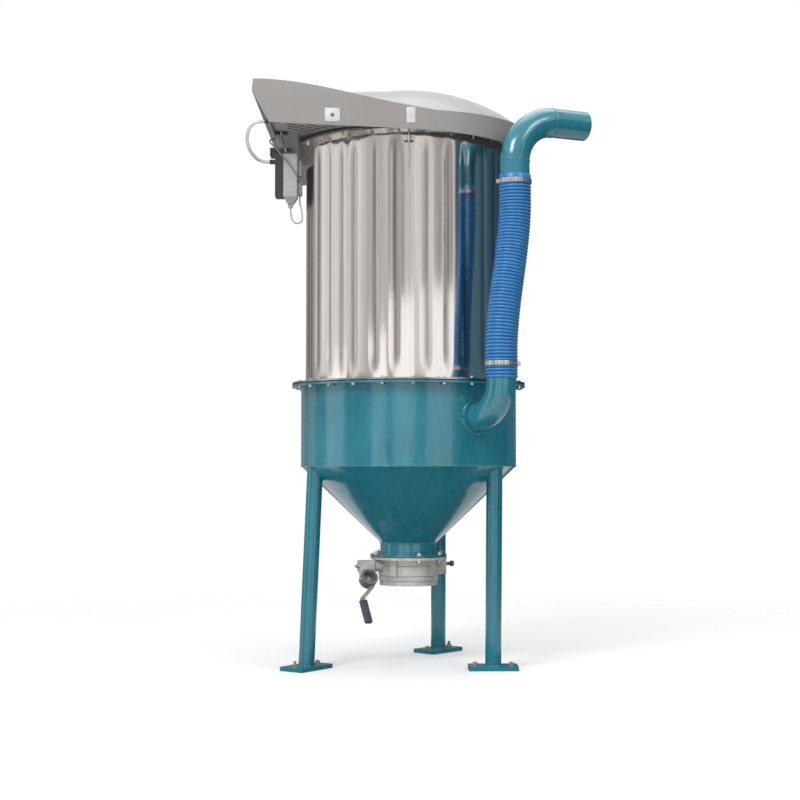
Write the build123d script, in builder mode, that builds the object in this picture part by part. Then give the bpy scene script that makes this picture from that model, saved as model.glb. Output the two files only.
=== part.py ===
from build123d import *
import os
from math import cos, hypot, radians, sin, sqrt, tan

os.makedirs("parts", exist_ok=True)

# Shared walls, clearances and cut overrun
sheet_wall = 4
shell_wall = 3
seat_gap = 0.3
overrun = 40

# Feet and legs; angles are measured round the axis, to the right of the front
foot_length = 184
foot_width = 105
foot_thickness = 16
anchor_spacing = 136
anchor_hole_radius = 9
leg_radius = 30
leg_wall = 4
leg_names = ("left", "right", "back")
leg_top_angles = (-66, 56, 161)
leg_foot_angles = (-63, 58, 161)
leg_splays = (43, -15, -7)
foot_turns = (55, 0, 48)

# Hopper: drum, cone, outlet neck and flange
drum_radius = 417
drum_bottom = 760
drum_height = 303
cone_height = 295
neck_radius = 109.5
neck_height = 45
neck_flange_overhang = 38.5
neck_flange_thickness = 6
neck_gasket_thickness = 3
hopper_flange_overhang = 35
hopper_flange_thickness = 8
gasket_thickness = 4
gasket_inset = 3

# Stainless filter shell with its two flanges and the seal under the cover
shell_inset = 17
shell_height = 908
shell_flange_thickness = 6
top_flange_overhang = 43
top_flange_thickness = 8
seal_thickness = 10

# Weather cover with a beak towards -X; rises are measured from its seat
cover_wall = 4
skirt_clearance = 13
skirt_drop_front = 46
skirt_drop_beak = 1
crease_rise = 45
dome_rise = 205
dome_inset = 5
beak_foot_overhang = 48
beak_lip_lean = 63
beak_lip_rise = 115
beak_lip_step = 4
beak_top_rise = 158
ledge_width = 48
ledge_thickness = 4
beak_curve_shares = ((-0.18, 0.0), (0.0, 0.14), (0.37, 0.54), (0.78, 0.93), (1.0, 1.0))
ridge_place_shares = (-0.07, 0.37, 0.94)
ridge_edge_shares = (0.0, 0.35, 0.86)
ridge_fall_shares = (0.02, 0.08, 0.33)
ridge_width_share = 0.97

# Grille, hinged flap and housing under the beak
grille_thickness = 1.5
grille_lift = 12
grille_right_reach = 130
slot_width = 11
slot_pitch = 36
slot_margin = 12
slot_count = 7
slot_turn = 31
slot_end_inset = 58
slot_side_inset = 67
slot_first_inset = 83
housing_half_width = 260
housing_drop = 102
housing_core_half_width = 170
housing_side_run = 92
panel_margin = 10
panel_height = 50
panel_depth = 5
flap_lean = 26
flap_thickness = 23
flap_gap = 3
hinge_length = 46
hinge_height = 13
hinge_proud = 8
hinge_place_shares = (0.0, 0.63)

# Control box hung on the flap, with its connectors and fittings
box_inset = 12
box_width = 81
box_depth = 70
box_height = 158
box_top_drop = 91
box_skin = 31
taper_height = 24
taper_share = 0.45
gland_radius = 9
gland_height = 14
block_overhang = 22
block_depth = 60
block_height = 30
block_overlap = 25
connector_width = 17
connector_depth = 44
connector_height = 56
connector_gap = 14
connector_drop = 24
fitting_radius = 9
fitting_length = 22
fitting_drop = 24
outlet_fitting_radius = 7
outlet_fitting_length = 14
outlet_fitting_inset = 30

# Swing bolt with a wing nut that hangs from the top flange
latch_gap = 25
latch_rod_radius = 3
latch_rod_length = 138
latch_tip_length = 22
latch_tip_share = 0.4
wing_nut_radius = 8
wing_nut_height = 16
wing_nut_drop = 26
wing_radius = 9
wing_reach = 13
wing_thickness = 5

# Dust inlet: lower elbow, flexible hose with two clamps, upper elbow
inlet_angle = 36.9
inlet_radius = 54
inlet_wall = 4
inlet_rise = 182
inlet_offset = 138
inlet_bend = 130
collar_wall = 9
collar_depth = 7
hose_wall = 5
hose_foot_rise = 134
hose_low_run = 174
hose_high_run = 173
hose_arc_share = 0.45
spigot_insert = 70
upper_angle = 44.05
upper_offset = 156.6
upper_axis_rise = 23
upper_drop = 207
upper_bend = 160
upper_run = 297
upper_turn = 25
clamp_band = 15
clamp_thickness = 2
clamp_inset = 54
upper_clamp_inset = 25
clamp_screw_length = 30
clamp_screw_size = 14

# Butterfly valve at the outlet, with its hand lever
valve_bore_radius = 100
valve_body_wall = 17
valve_flange_thickness = 10
upper_body_height = 33
lower_body_height = 38
lip_height = 38
lip_inset = 2
lip_step_inset = 5
lip_step_share = 0.5
seam_groove = 2
pad_width = 26
pad_proud = 7
pad_angles = (-28, 50, 152, 230)
shaft_turn = 25
shaft_radius = 11
bearing_overhang = 2
bearing_block_width = 56
shaft_end_radius = 7
shaft_end_length = 43
shaft_knob_radius = 11
shaft_knob_length = 10
disc_clearance = 3
disc_thickness = 12
disc_hub_radius = 20
lever_tilt = 35
head_inset = 4
head_length = 52
head_width = 50
head_height = 42
strap_thickness = 6
strap_width = 24
hub_radius = 33
hub_depth = 36
hub_offset = 58
hub_inset = 30
hub_rim = 9
hub_floor = 9
arm_width = 12
arm_thickness = 14
arm_inset = 22
arm_offset = 54
arm_knee = 142
grip_start = 152
grip_length = 95
grip_width = 18
grip_thickness = 30
grip_fillet = 6

# Free cords under the beak: diameters, exits and the bends of their routes
tube_diameter = 12
cable_diameter = 6
cord_bend_share = 0.45
cable_lead = 14
cable_exit_y = -245
cable_exit_drop = 14
tube_head_offsets = ((-30, 0, 0), (-56, 10, -18), (-69, 30, -52))
tube_tail_offsets = ((-72, -70, 36), (-54, -30, 11), (-30, 0, 0))
cable_offsets = ((-28, 10, 56), (2, -28, 22), (26, -47, -8), (53, -47, -38), (78, -46, -78))
loop_head_offsets = ((0, 0, -16), (2, -2, -32), (7, -4, -47))
loop_tail_offsets = ((-16, -5, -105), (0, -5, -105), (11, -4, -94), (10, -3, -74), (6, -1, -50))

# Radii and reaches that follow from the drum and the neck
shell_radius = drum_radius - shell_inset
hopper_flange_radius = drum_radius + hopper_flange_overhang
top_flange_radius = shell_radius + top_flange_overhang
cover_radius = top_flange_radius + skirt_clearance + cover_wall
beak_foot_reach = cover_radius + beak_foot_overhang
beak_lip_reach = beak_foot_reach + beak_lip_lean
beak_top_reach = beak_lip_reach - beak_lip_step
box_left = beak_foot_reach - box_inset
block_reach = box_left + block_overhang
inlet_reach = drum_radius + inlet_offset
upper_reach = shell_radius + upper_offset
neck_flange_radius = neck_radius + neck_flange_overhang
valve_flange_radius = neck_flange_radius
valve_body_radius = valve_bore_radius + valve_body_wall
lip_radius = valve_body_radius - lip_inset
lip_step_radius = valve_body_radius - lip_step_inset
disc_radius = valve_bore_radius - disc_clearance
bearing_reach = valve_flange_radius + bearing_overhang
shaft_end_reach = bearing_reach + shaft_end_length

# Heights that follow from the stack
drum_top = drum_bottom + drum_height
hopper_flange_top = drum_top + hopper_flange_thickness
gasket_top = hopper_flange_top + gasket_thickness
shell_bottom = gasket_top + shell_flange_thickness
shell_top = shell_bottom + shell_height
top_flange_top = shell_top + top_flange_thickness
cover_seat = top_flange_top + seal_thickness
cone_bottom = drum_bottom - cone_height
neck_bottom = cone_bottom - neck_height
neck_flange_bottom = neck_bottom - neck_flange_thickness
valve_top = neck_flange_bottom - neck_gasket_thickness
valve_axis_height = valve_top - upper_body_height
bearing_radius = upper_body_height - valve_flange_thickness - seat_gap
lip_top = valve_axis_height - lower_body_height
lip_bottom = lip_top - lip_height
inlet_axis_height = drum_bottom + inlet_rise
upper_axis_height = cover_seat + upper_axis_rise
hose_bottom = inlet_axis_height + hose_foot_rise
hose_top = upper_axis_height - upper_drop
hose_bend_low = hose_bottom + hose_low_run
hose_bend_high = hose_top - hose_high_run


def finish(builder, name):
    """Label a finished piece and write it to its own file."""
    builder.part.label = name
    export_step(builder.part, f"parts/{name}.step")


def around(radius, angle, height):
    """Point at a radius and an angle to the right of the front."""
    return Vector(radius * sin(radians(angle)), -radius * cos(radians(angle)), height)


def ring(name, outer_radius, inner_radius, bottom, thickness):
    """Flat ring or straight tube round the silo axis."""
    with BuildPart() as piece:
        with BuildSketch(Plane.XY.offset(bottom)):
            Circle(outer_radius)
            Circle(inner_radius, mode=Mode.SUBTRACT)
        extrude(amount=thickness)
    finish(piece, name)


def bent_pipe(points, bend_radii, outer_radius, wall):
    """Pipe of one wall along straight runs joined by tangent arcs."""
    with BuildPart() as pipe:
        with BuildLine() as route:
            FilletPolyline(*points, radius=bend_radii)
        with BuildSketch(Plane(origin=points[0], z_dir=points[1] - points[0])) as section:
            Circle(outer_radius)
            Circle(outer_radius - wall, mode=Mode.SUBTRACT)
        sweep(sections=section.sketch, path=route.wires()[0])
    return pipe


# Hopper: drum with the inlet hole, cone, neck and flanges
inlet_out = around(1, inlet_angle, 0)
inlet_plane = Plane(origin=around(drum_radius - overrun, inlet_angle, inlet_axis_height), z_dir=inlet_out)

with BuildPart() as hopper_drum:
    with BuildSketch(Plane.XY.offset(drum_bottom)):
        Circle(drum_radius)
        Circle(drum_radius - sheet_wall, mode=Mode.SUBTRACT)
    extrude(amount=drum_height)
    with BuildSketch(inlet_plane):
        Circle(inlet_radius - inlet_wall)
    extrude(amount=overrun + overrun, mode=Mode.SUBTRACT)
finish(hopper_drum, "hopper_drum")

cone_side_wall = sheet_wall * hypot(drum_radius - neck_radius, cone_height) / cone_height
with BuildPart() as hopper_cone:
    with BuildSketch(Plane.XZ):
        with BuildLine():
            Polyline(
                (drum_radius, drum_bottom),
                (neck_radius, cone_bottom),
                (neck_radius - cone_side_wall, cone_bottom),
                (drum_radius - cone_side_wall, drum_bottom),
                close=True,
            )
        make_face()
    revolve(axis=Axis.Z)
finish(hopper_cone, "hopper_cone")

ring("outlet_neck", neck_radius, neck_radius - sheet_wall, neck_bottom, neck_height)
ring("neck_flange", neck_flange_radius, neck_radius - sheet_wall, neck_flange_bottom, neck_flange_thickness)
ring("neck_gasket", neck_flange_radius - gasket_inset, neck_radius, valve_top, neck_gasket_thickness)
ring("hopper_flange", hopper_flange_radius, drum_radius - sheet_wall, drum_top, hopper_flange_thickness)
ring("flange_gasket", hopper_flange_radius - gasket_inset, drum_radius, hopper_flange_top, gasket_thickness)

# Legs, coped to the cone and standing on their foot plates
with BuildPart() as cone_cutter:
    with BuildSketch(Plane.XZ):
        with BuildLine():
            Polyline(
                (0, cone_bottom),
                (neck_radius + seat_gap, cone_bottom),
                (drum_radius + seat_gap, drum_bottom),
                (drum_radius + drum_radius, drum_bottom),
                (drum_radius + drum_radius, drum_top),
                (0, drum_top),
                close=True,
            )
        make_face()
    revolve(axis=Axis.Z)

leg_top_circle = drum_radius - leg_radius
leg_values = zip(leg_names, leg_top_angles, leg_foot_angles, leg_splays, foot_turns)
for leg_name, top_angle, foot_angle, leg_splay, foot_turn in leg_values:
    leg_foot = around(leg_top_circle + leg_splay, foot_angle, foot_thickness)
    leg_head = around(leg_top_circle, top_angle, drum_bottom)
    leg_line = (leg_head - leg_foot).normalized()
    with BuildPart() as leg:
        with BuildSketch(Plane(origin=leg_foot - leg_line * overrun, z_dir=leg_line)):
            Circle(leg_radius)
            Circle(leg_radius - leg_wall, mode=Mode.SUBTRACT)
        extrude(amount=(leg_head - leg_foot).length + overrun + overrun)
        split(bisect_by=Plane.XY.offset(foot_thickness), keep=Keep.TOP)
        add(cone_cutter.part, mode=Mode.SUBTRACT)
    finish(leg, f"leg_{leg_name}")

    foot_plane = Plane(origin=Vector(leg_foot.X, leg_foot.Y, 0)).rotated((0, 0, foot_turn))
    with BuildPart() as foot:
        with BuildSketch(foot_plane):
            Rectangle(foot_length, foot_width)
            with GridLocations(anchor_spacing, 0, 2, 1):
                Circle(anchor_hole_radius, mode=Mode.SUBTRACT)
        extrude(amount=foot_thickness)
    finish(foot, f"foot_{leg_name}")

# Filter shell, its flanges and the cover seal
shell_bore = shell_radius - shell_wall
ring("shell_bottom_flange", hopper_flange_radius, shell_bore, gasket_top, shell_flange_thickness)
ring("filter_shell", shell_radius, shell_bore, shell_bottom, shell_height)
ring("shell_top_flange", top_flange_radius, shell_bore, shell_top, top_flange_thickness)
ring("cover_seal", top_flange_radius, shell_radius, top_flange_top, seal_thickness)


# Weather cover: skirt and beak under one sloped top, with a domed lid
def beak_top_points(drop):
    """Points of the rising top line from the dome to the beak's lip."""
    rise = beak_top_rise - crease_rise
    return [
        (-reach_share * beak_top_reach, cover_seat + crease_rise + rise_share * rise - drop)
        for reach_share, rise_share in beak_curve_shares
    ]


def cover_mass(inset, skirt_cut):
    """Solid of the cover's outside, or of its inside when inset by the wall."""
    top_points = beak_top_points(inset)
    tip = (inset - beak_top_reach, top_points[-1][1])
    lip = (inset - beak_lip_reach, cover_seat + beak_lip_rise)
    heel_shift = skirt_cut * (beak_lip_reach - beak_foot_reach) / (beak_lip_rise + skirt_drop_beak)
    heel = (inset - beak_foot_reach + heel_shift, cover_seat - skirt_drop_beak - skirt_cut)
    front = (cover_radius, cover_seat - skirt_drop_front - skirt_cut)
    crease = cover_seat + crease_rise - inset
    with BuildPart() as mass:
        with BuildSketch(Plane.XY.offset(front[1] - overrun)):
            Circle(cover_radius - inset)
            with Locations((-beak_lip_reach, 0)):
                Rectangle(beak_lip_reach * 2, (cover_radius - inset) * 2)
        extrude(amount=dome_rise + dome_rise)
        with BuildSketch(Plane.XZ):
            with BuildLine():
                Spline(*top_points[:-1], tip)
                Polyline(tip, lip, heel, front, (front[0], crease), top_points[0])
            make_face()
        extrude(amount=cover_radius + overrun, both=True, mode=Mode.INTERSECT)
        base_radius = cover_radius - dome_inset
        cap_rise = dome_rise - crease_rise
        sphere_radius = (base_radius * base_radius + cap_rise * cap_rise) / (cap_rise + cap_rise)
        cap_low = cover_seat + crease_rise - ledge_thickness - inset
        centre_height = cover_seat + dome_rise - sphere_radius
        cap_radius = sphere_radius - inset
        edge_radius = sqrt(cap_radius * cap_radius - (cap_low - centre_height) ** 2)
        edge_radius = min(edge_radius, base_radius - inset)
        with BuildSketch(Plane.XZ):
            with BuildLine():
                Line((0, cap_low), (edge_radius, cap_low))
                edge_top = centre_height + sqrt(cap_radius * cap_radius - edge_radius * edge_radius)
                Line((edge_radius, cap_low), (edge_radius, edge_top))
                RadiusArc((edge_radius, edge_top), (0, centre_height + cap_radius), -cap_radius)
                Line((0, centre_height + cap_radius), (0, cap_low))
            make_face()
        revolve(axis=Axis.Z)
        apex = centre_height + cap_radius
        tip_top = cover_seat + beak_top_rise - inset
        ridge_edge = edge_radius * ridge_width_share
        ridge_shares = zip(ridge_place_shares, ridge_edge_shares, ridge_fall_shares)
        for place_share, edge_share, fall_share in ridge_shares:
            section_edge = edge_top + edge_share * (tip_top - edge_top)
            section_top = max(apex - fall_share * cap_rise, section_edge + ledge_thickness)
            with BuildSketch(Plane.YZ.offset(-place_share * beak_top_reach)):
                with BuildLine():
                    ThreePointArc((-ridge_edge, section_edge), (0, section_top), (ridge_edge, section_edge))
                    Line((ridge_edge, section_edge), (-ridge_edge, section_edge))
                make_face()
        loft()
    return mass


cover_outside = cover_mass(0, 0)
cover_inside = cover_mass(cover_wall, overrun)
with BuildPart() as weather_cover:
    add(cover_outside.part)
    add(cover_inside.part, mode=Mode.SUBTRACT)
    with BuildSketch(Plane.XY.offset(cover_seat)):
        Circle(cover_radius - cover_wall / 2)
        with Locations((seat_gap - grille_right_reach - cover_radius / 2, 0)):
            Rectangle(cover_radius, cover_radius * 2, mode=Mode.SUBTRACT)
        Circle(top_flange_radius)
        Circle(cover_radius - cover_wall - ledge_width, mode=Mode.SUBTRACT)
    extrude(amount=ledge_thickness)
finish(weather_cover, "weather_cover")

# Under the beak: slotted grille plate, hinged flap and the housing behind it
beak_slope = (beak_lip_reach - beak_foot_reach) / (beak_lip_rise + skirt_drop_beak)
skirt_slope = (skirt_drop_front - skirt_drop_beak) / (cover_radius + beak_foot_reach)
flap_slope = flap_lean / housing_drop


def beak_face_x(height, depth):
    """X of the plane that lies a depth behind the beak's end face, at a height."""
    drop = cover_seat - skirt_drop_beak - height
    return -beak_foot_reach + drop * beak_slope + depth * hypot(1, beak_slope)


def flap_face_x(height, depth):
    """X of the plane that lies a depth behind the flap's front plane, at a height."""
    drop = cover_seat - skirt_drop_beak - height
    return -beak_foot_reach + drop * flap_slope + depth * hypot(1, flap_slope)


def grille_z(x):
    """Height of the grille's underside, parallel to the skirt's lower edge."""
    return cover_seat - skirt_drop_beak - skirt_slope * (x + beak_foot_reach) + grille_lift


grille_half_width = cover_radius - cover_wall - seat_gap
grille_left = beak_face_x(grille_z(-beak_foot_reach), cover_wall + seat_gap)
with BuildPart() as exhaust_grille:
    with BuildSketch(Plane.XZ):
        with BuildLine():
            Polyline(
                (grille_left, grille_z(grille_left)),
                (-grille_right_reach, grille_z(-grille_right_reach)),
                (-grille_right_reach, grille_z(-grille_right_reach) + grille_thickness),
                (grille_left, grille_z(grille_left) + grille_thickness),
                close=True,
            )
        make_face()
    extrude(amount=grille_half_width, both=True)
    with BuildSketch(Plane.XY.offset(cover_seat - skirt_drop_front)):
        Circle(top_flange_radius + seat_gap)
    extrude(amount=dome_rise, mode=Mode.SUBTRACT)
    slot_left = slot_end_inset - beak_foot_reach
    slot_side = cover_radius - slot_side_inset
    with BuildSketch(Plane.XY.offset(cover_seat - skirt_drop_front)):
        for row in range(slot_count):
            row_x = slot_left + row * slot_pitch * sin(radians(slot_turn))
            row_y = slot_side - slot_first_inset + row * slot_pitch * cos(radians(slot_turn))
            for side in (-1, 1):
                with Locations(Location((row_x, side * row_y, 0), (0, 0, -side * slot_turn))):
                    Rectangle(cover_radius, slot_width)
        with Locations((slot_left / 2, 0)):
            Rectangle(-slot_left, slot_side * 2, mode=Mode.INTERSECT)
        Circle(top_flange_radius + slot_margin, mode=Mode.SUBTRACT)
    extrude(amount=dome_rise, mode=Mode.SUBTRACT)
finish(exhaust_grille, "exhaust_grille")

housing_bottom = cover_seat - housing_drop
with BuildPart() as shell_cutter:
    with BuildSketch(Plane.XY.offset(housing_bottom - overrun)):
        Circle(shell_radius + seat_gap)
    extrude(amount=shell_top - housing_bottom + overrun)
    with BuildSketch(Plane.XY.offset(shell_top)):
        Circle(top_flange_radius + seat_gap)
    extrude(amount=dome_rise)


def under_beak(front_depth, back_x):
    """Block under the grille, between a plane behind the flap's front and an upright."""
    flap_x = flap_face_x(housing_bottom, front_depth)
    flap_top_x = flap_face_x(grille_z(-beak_foot_reach), front_depth)
    outline = [
        (flap_x, housing_bottom),
        (flap_top_x, grille_z(flap_top_x)),
        (back_x, grille_z(back_x)),
        (back_x, housing_bottom),
    ]
    with BuildPart() as block:
        with BuildSketch(Plane.XZ):
            with BuildLine():
                Polyline(*outline, close=True)
            make_face()
        extrude(amount=housing_half_width, both=True)
        add(shell_cutter.part, mode=Mode.SUBTRACT)
    return block


flap_front = cover_wall * hypot(1, beak_slope) + seat_gap
flap_back = flap_front + flap_thickness
housing_back_x = -sqrt(shell_radius * shell_radius - housing_half_width * housing_half_width)
housing_side_back = housing_side_run - beak_foot_reach
panel_left = flap_face_x(cover_seat, flap_back + flap_gap) + hinge_length / 2
panel_right = housing_side_back - panel_margin
panel_top = cover_seat - panel_margin
side_cut_x = housing_side_back + shell_radius / 2
side_cut_y = housing_core_half_width + shell_radius / 2
with BuildPart() as beak_housing:
    add(under_beak(flap_back + flap_gap, housing_back_x).part)
    with BuildSketch(Plane.XY.offset(housing_bottom - overrun)):
        with Locations((side_cut_x, -side_cut_y), (side_cut_x, side_cut_y)):
            Rectangle(shell_radius, shell_radius)
    extrude(amount=dome_rise + dome_rise, mode=Mode.SUBTRACT)
    for side in (-1, 1):
        with BuildSketch(Plane.XZ.offset(side * (housing_half_width - panel_depth))):
            with Locations(((panel_left + panel_right) / 2, panel_top - panel_height / 2)):
                Rectangle(panel_right - panel_left, panel_height)
        extrude(amount=side * overrun, mode=Mode.SUBTRACT)
finish(beak_housing, "beak_housing")

with BuildPart() as beak_flap:
    add(under_beak(flap_front, housing_back_x).part)
    add(under_beak(flap_back, housing_back_x).part, mode=Mode.SUBTRACT)
finish(beak_flap, "beak_flap")

with BuildPart() as flap_hinges:
    with BuildSketch(Plane.XZ.offset(housing_half_width)):
        for place_share in hinge_place_shares:
            hinge_z = cover_seat - place_share * housing_drop
            with Locations((flap_face_x(hinge_z, flap_back + flap_gap / 2), hinge_z)):
                Rectangle(hinge_length, hinge_height)
    extrude(amount=hinge_proud)
finish(flap_hinges, "flap_hinges")

# Control box on the housing's front, with its top block, connectors, gland and fitting
box_top = cover_seat - box_top_drop
box_bottom = box_top - box_height
box_back = -housing_half_width
box_middle_y = box_back - box_depth / 2
skin_right = -box_left + box_skin
box_right = -box_left + box_width


def upright_box(name, left, right, bottom, top, middle_y, depth):
    """Plain block given by its left, right, bottom and top."""
    with BuildPart() as block:
        with BuildSketch(Plane(origin=(0, middle_y, bottom))):
            with Locations(((left + right) / 2, 0)):
                Rectangle(right - left, depth)
        extrude(amount=top - bottom)
    finish(block, name)


upright_box("control_box_side", -box_left, skin_right, box_bottom, box_top, box_middle_y, box_depth)
with BuildPart() as control_box:
    with BuildSketch(Plane(origin=((skin_right + box_right) / 2, box_middle_y, box_bottom))):
        Rectangle(box_right - skin_right, box_depth)
    extrude(amount=box_height)
    with BuildSketch(Plane(origin=((skin_right + box_right) / 2, box_middle_y, box_bottom))):
        Rectangle(box_right - skin_right, box_depth)
    with BuildSketch(Plane(origin=((skin_right + box_right) / 2, box_middle_y, box_bottom - taper_height))):
        Rectangle((box_right - skin_right) * taper_share, box_depth * taper_share)
    loft()
finish(control_box, "control_box")

with BuildPart() as cable_gland:
    gland_x = (skin_right + box_right) / 2
    with BuildSketch(Plane(origin=(gland_x, box_middle_y, box_bottom - taper_height - gland_height))):
        Circle(gland_radius)
    extrude(amount=gland_height)
finish(cable_gland, "cable_gland")

with BuildPart() as box_connectors:
    for step in (0, 1):
        connector_top = box_top - connector_drop - step * (connector_height + connector_gap)
        with BuildSketch(Plane(origin=(box_right, box_middle_y, connector_top - connector_height))):
            with Locations((connector_width / 2, 0)):
                Rectangle(connector_width, connector_depth)
        extrude(amount=connector_height)
finish(box_connectors, "box_connectors")

block_middle_y = box_back - block_depth / 2 + block_overlap
with BuildPart() as box_top_block:
    with BuildSketch(Plane.XZ.offset(-block_middle_y)):
        with BuildLine():
            Polyline(
                (-block_reach, box_top),
                (-block_reach, box_top + block_height),
                (flap_face_x(box_top + block_height, flap_front) - seat_gap, box_top + block_height),
                (flap_face_x(box_top, flap_front) - seat_gap, box_top),
                close=True,
            )
        make_face()
    extrude(amount=block_depth / 2, both=True)
finish(box_top_block, "box_top_block")

fitting_z = box_top - fitting_drop
with BuildPart() as air_fitting:
    with BuildSketch(Plane(origin=(-box_left, box_middle_y, fitting_z), z_dir=(-1, 0, 0))):
        Circle(fitting_radius)
    extrude(amount=fitting_length)
finish(air_fitting, "air_fitting")

tube_exit_y = -cover_radius + outlet_fitting_inset
tube_exit_z = cover_seat + outlet_fitting_radius
tube_exit_x = beak_face_x(tube_exit_z, 0)
tube_mouth = Vector(tube_exit_x - outlet_fitting_length, tube_exit_y, tube_exit_z)
with BuildPart() as tube_fitting:
    with BuildSketch(Plane(origin=tube_mouth, z_dir=(1, 0, 0))):
        Circle(outlet_fitting_radius)
    extrude(amount=outlet_fitting_length + overrun)
    add(cover_outside.part, mode=Mode.SUBTRACT)
finish(tube_fitting, "tube_fitting")

# Swing bolt with its wing nut, hung from the top flange at the front
latch_y = -shell_radius - latch_gap
wing_nut_bottom = shell_top - wing_nut_drop - wing_nut_height
wing_z = wing_nut_bottom + wing_radius
rod_bottom = shell_top - latch_rod_length
with BuildPart() as cover_latch:
    with BuildSketch(Plane(origin=(0, latch_y, rod_bottom))):
        Circle(latch_rod_radius * latch_tip_share)
    with BuildSketch(Plane(origin=(0, latch_y, rod_bottom + latch_tip_length))):
        Circle(latch_rod_radius)
    loft()
    with BuildSketch(Plane(origin=(0, latch_y, rod_bottom + latch_tip_length))):
        Circle(latch_rod_radius)
    extrude(amount=latch_rod_length - latch_tip_length)
    with BuildSketch(Plane(origin=(0, latch_y, wing_nut_bottom))):
        Circle(wing_nut_radius)
    extrude(amount=wing_nut_height)
    with BuildSketch(Plane.XZ.offset(-latch_y)):
        with Locations((-wing_reach, wing_z), (wing_reach, wing_z)):
            Circle(wing_radius)
    extrude(amount=wing_thickness / 2, both=True)
finish(cover_latch, "cover_latch")

# Dust inlet from the drum up to the open duct end
inlet_axis = around(inlet_reach, inlet_angle, inlet_axis_height)
hose_foot = Vector(inlet_axis.X, inlet_axis.Y, hose_bottom)
with BuildPart() as drum_cutter:
    with BuildSketch(Plane.XY.offset(drum_bottom)):
        Circle(drum_radius + seat_gap)
    extrude(amount=drum_height)

elbow_points = [
    around(drum_radius - overrun, inlet_angle, inlet_axis_height),
    inlet_axis,
    hose_foot + Vector(0, 0, spigot_insert),
]
with BuildPart() as inlet_elbow_lower:
    add(bent_pipe(elbow_points, inlet_bend, inlet_radius, inlet_wall).part)
    add(drum_cutter.part, mode=Mode.SUBTRACT)
finish(inlet_elbow_lower, "inlet_elbow_lower")

with BuildPart() as inlet_collar:
    with BuildSketch(inlet_plane):
        Circle(inlet_radius + seat_gap + collar_wall)
        Circle(inlet_radius + seat_gap, mode=Mode.SUBTRACT)
    extrude(amount=overrun + collar_depth)
    add(drum_cutter.part, mode=Mode.SUBTRACT)
finish(inlet_collar, "inlet_collar")

hose_radius = inlet_radius + seat_gap + hose_wall
hose_head = around(upper_reach, upper_angle, hose_top)
hose_points = [
    hose_foot,
    Vector(hose_foot.X, hose_foot.Y, hose_bend_low),
    Vector(hose_head.X, hose_head.Y, hose_bend_high),
    hose_head,
]


def route_radii(points, share):
    """Largest tangent arcs that the runs of a route allow, one for each corner."""
    radii = []
    for before, corner, after in zip(points, points[1:], points[2:]):
        turn = radians((corner - before).get_angle(after - corner))
        radii.append(share * min((corner - before).length, (after - corner).length) / tan(turn / 2))
    return radii


hose_radii = route_radii(hose_points, hose_arc_share)
finish(bent_pipe(hose_points, hose_radii, hose_radius, hose_wall), "inlet_hose")

upper_out = Vector(cos(radians(upper_turn)), sin(radians(upper_turn)), 0)
upper_corner = Vector(hose_head.X, hose_head.Y, upper_axis_height)
upper_points = [hose_head - Vector(0, 0, spigot_insert), upper_corner, upper_corner + upper_out * upper_run]
finish(bent_pipe(upper_points, upper_bend, inlet_radius, inlet_wall), "inlet_elbow_upper")


def hose_clamp(name, centre, screw_side):
    """Band clamp round the hose with its worm screw housing on one side."""
    band_inner = hose_radius + seat_gap
    band_outer = band_inner + clamp_thickness
    with BuildPart() as clamp:
        with BuildSketch(Plane(origin=centre - Vector(0, 0, clamp_band / 2))):
            Circle(band_outer)
        extrude(amount=clamp_band)
        with Locations(centre + Vector(screw_side * band_outer, 0, 0)):
            Box(clamp_screw_size, clamp_screw_length, clamp_screw_size)
        with BuildSketch(Plane(origin=centre - Vector(0, 0, clamp_band))):
            Circle(band_inner)
        extrude(amount=clamp_band + clamp_band, mode=Mode.SUBTRACT)
    finish(clamp, name)


hose_clamp("hose_clamp_lower", hose_foot + Vector(0, 0, clamp_inset), 1)
hose_clamp("hose_clamp_upper", hose_head - Vector(0, 0, upper_clamp_inset), -1)

# Butterfly valve: two half bodies, bearings, shaft and disc
shaft_out = Vector(-cos(radians(shaft_turn)), -sin(radians(shaft_turn)), 0)
lever_side = Vector(sin(radians(shaft_turn)), -cos(radians(shaft_turn)), 0)
valve_centre = Vector(0, 0, valve_axis_height)
lever_down = lever_side * sin(radians(lever_tilt)) - Vector(0, 0, cos(radians(lever_tilt)))


def shaft_plane(reach):
    """Plane across the shaft, with its own y upright and z outward to the lever."""
    return Plane(origin=valve_centre + shaft_out * reach, x_dir=lever_side, z_dir=shaft_out)


def valve_half(name, profile, pad_bottom, pad_top):
    """Turned half of the valve body with its bolt pads and half of the shaft bore."""
    with BuildPart() as half:
        with BuildSketch(Plane.XY.offset(pad_bottom)):
            for pad_angle in pad_angles:
                with Locations(Location(around(valve_body_radius, pad_angle, 0), (0, 0, pad_angle))):
                    Rectangle(pad_width, pad_proud + pad_proud)
        extrude(amount=pad_top - pad_bottom)
        with BuildSketch(Plane.XZ):
            with BuildLine():
                Polyline(*profile, close=True)
            make_face()
        revolve(axis=Axis.Z)
        with BuildSketch(shaft_plane(-bearing_reach)):
            Circle(shaft_radius + seat_gap)
        extrude(amount=bearing_reach + bearing_reach, mode=Mode.SUBTRACT)
    finish(half, name)


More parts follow.
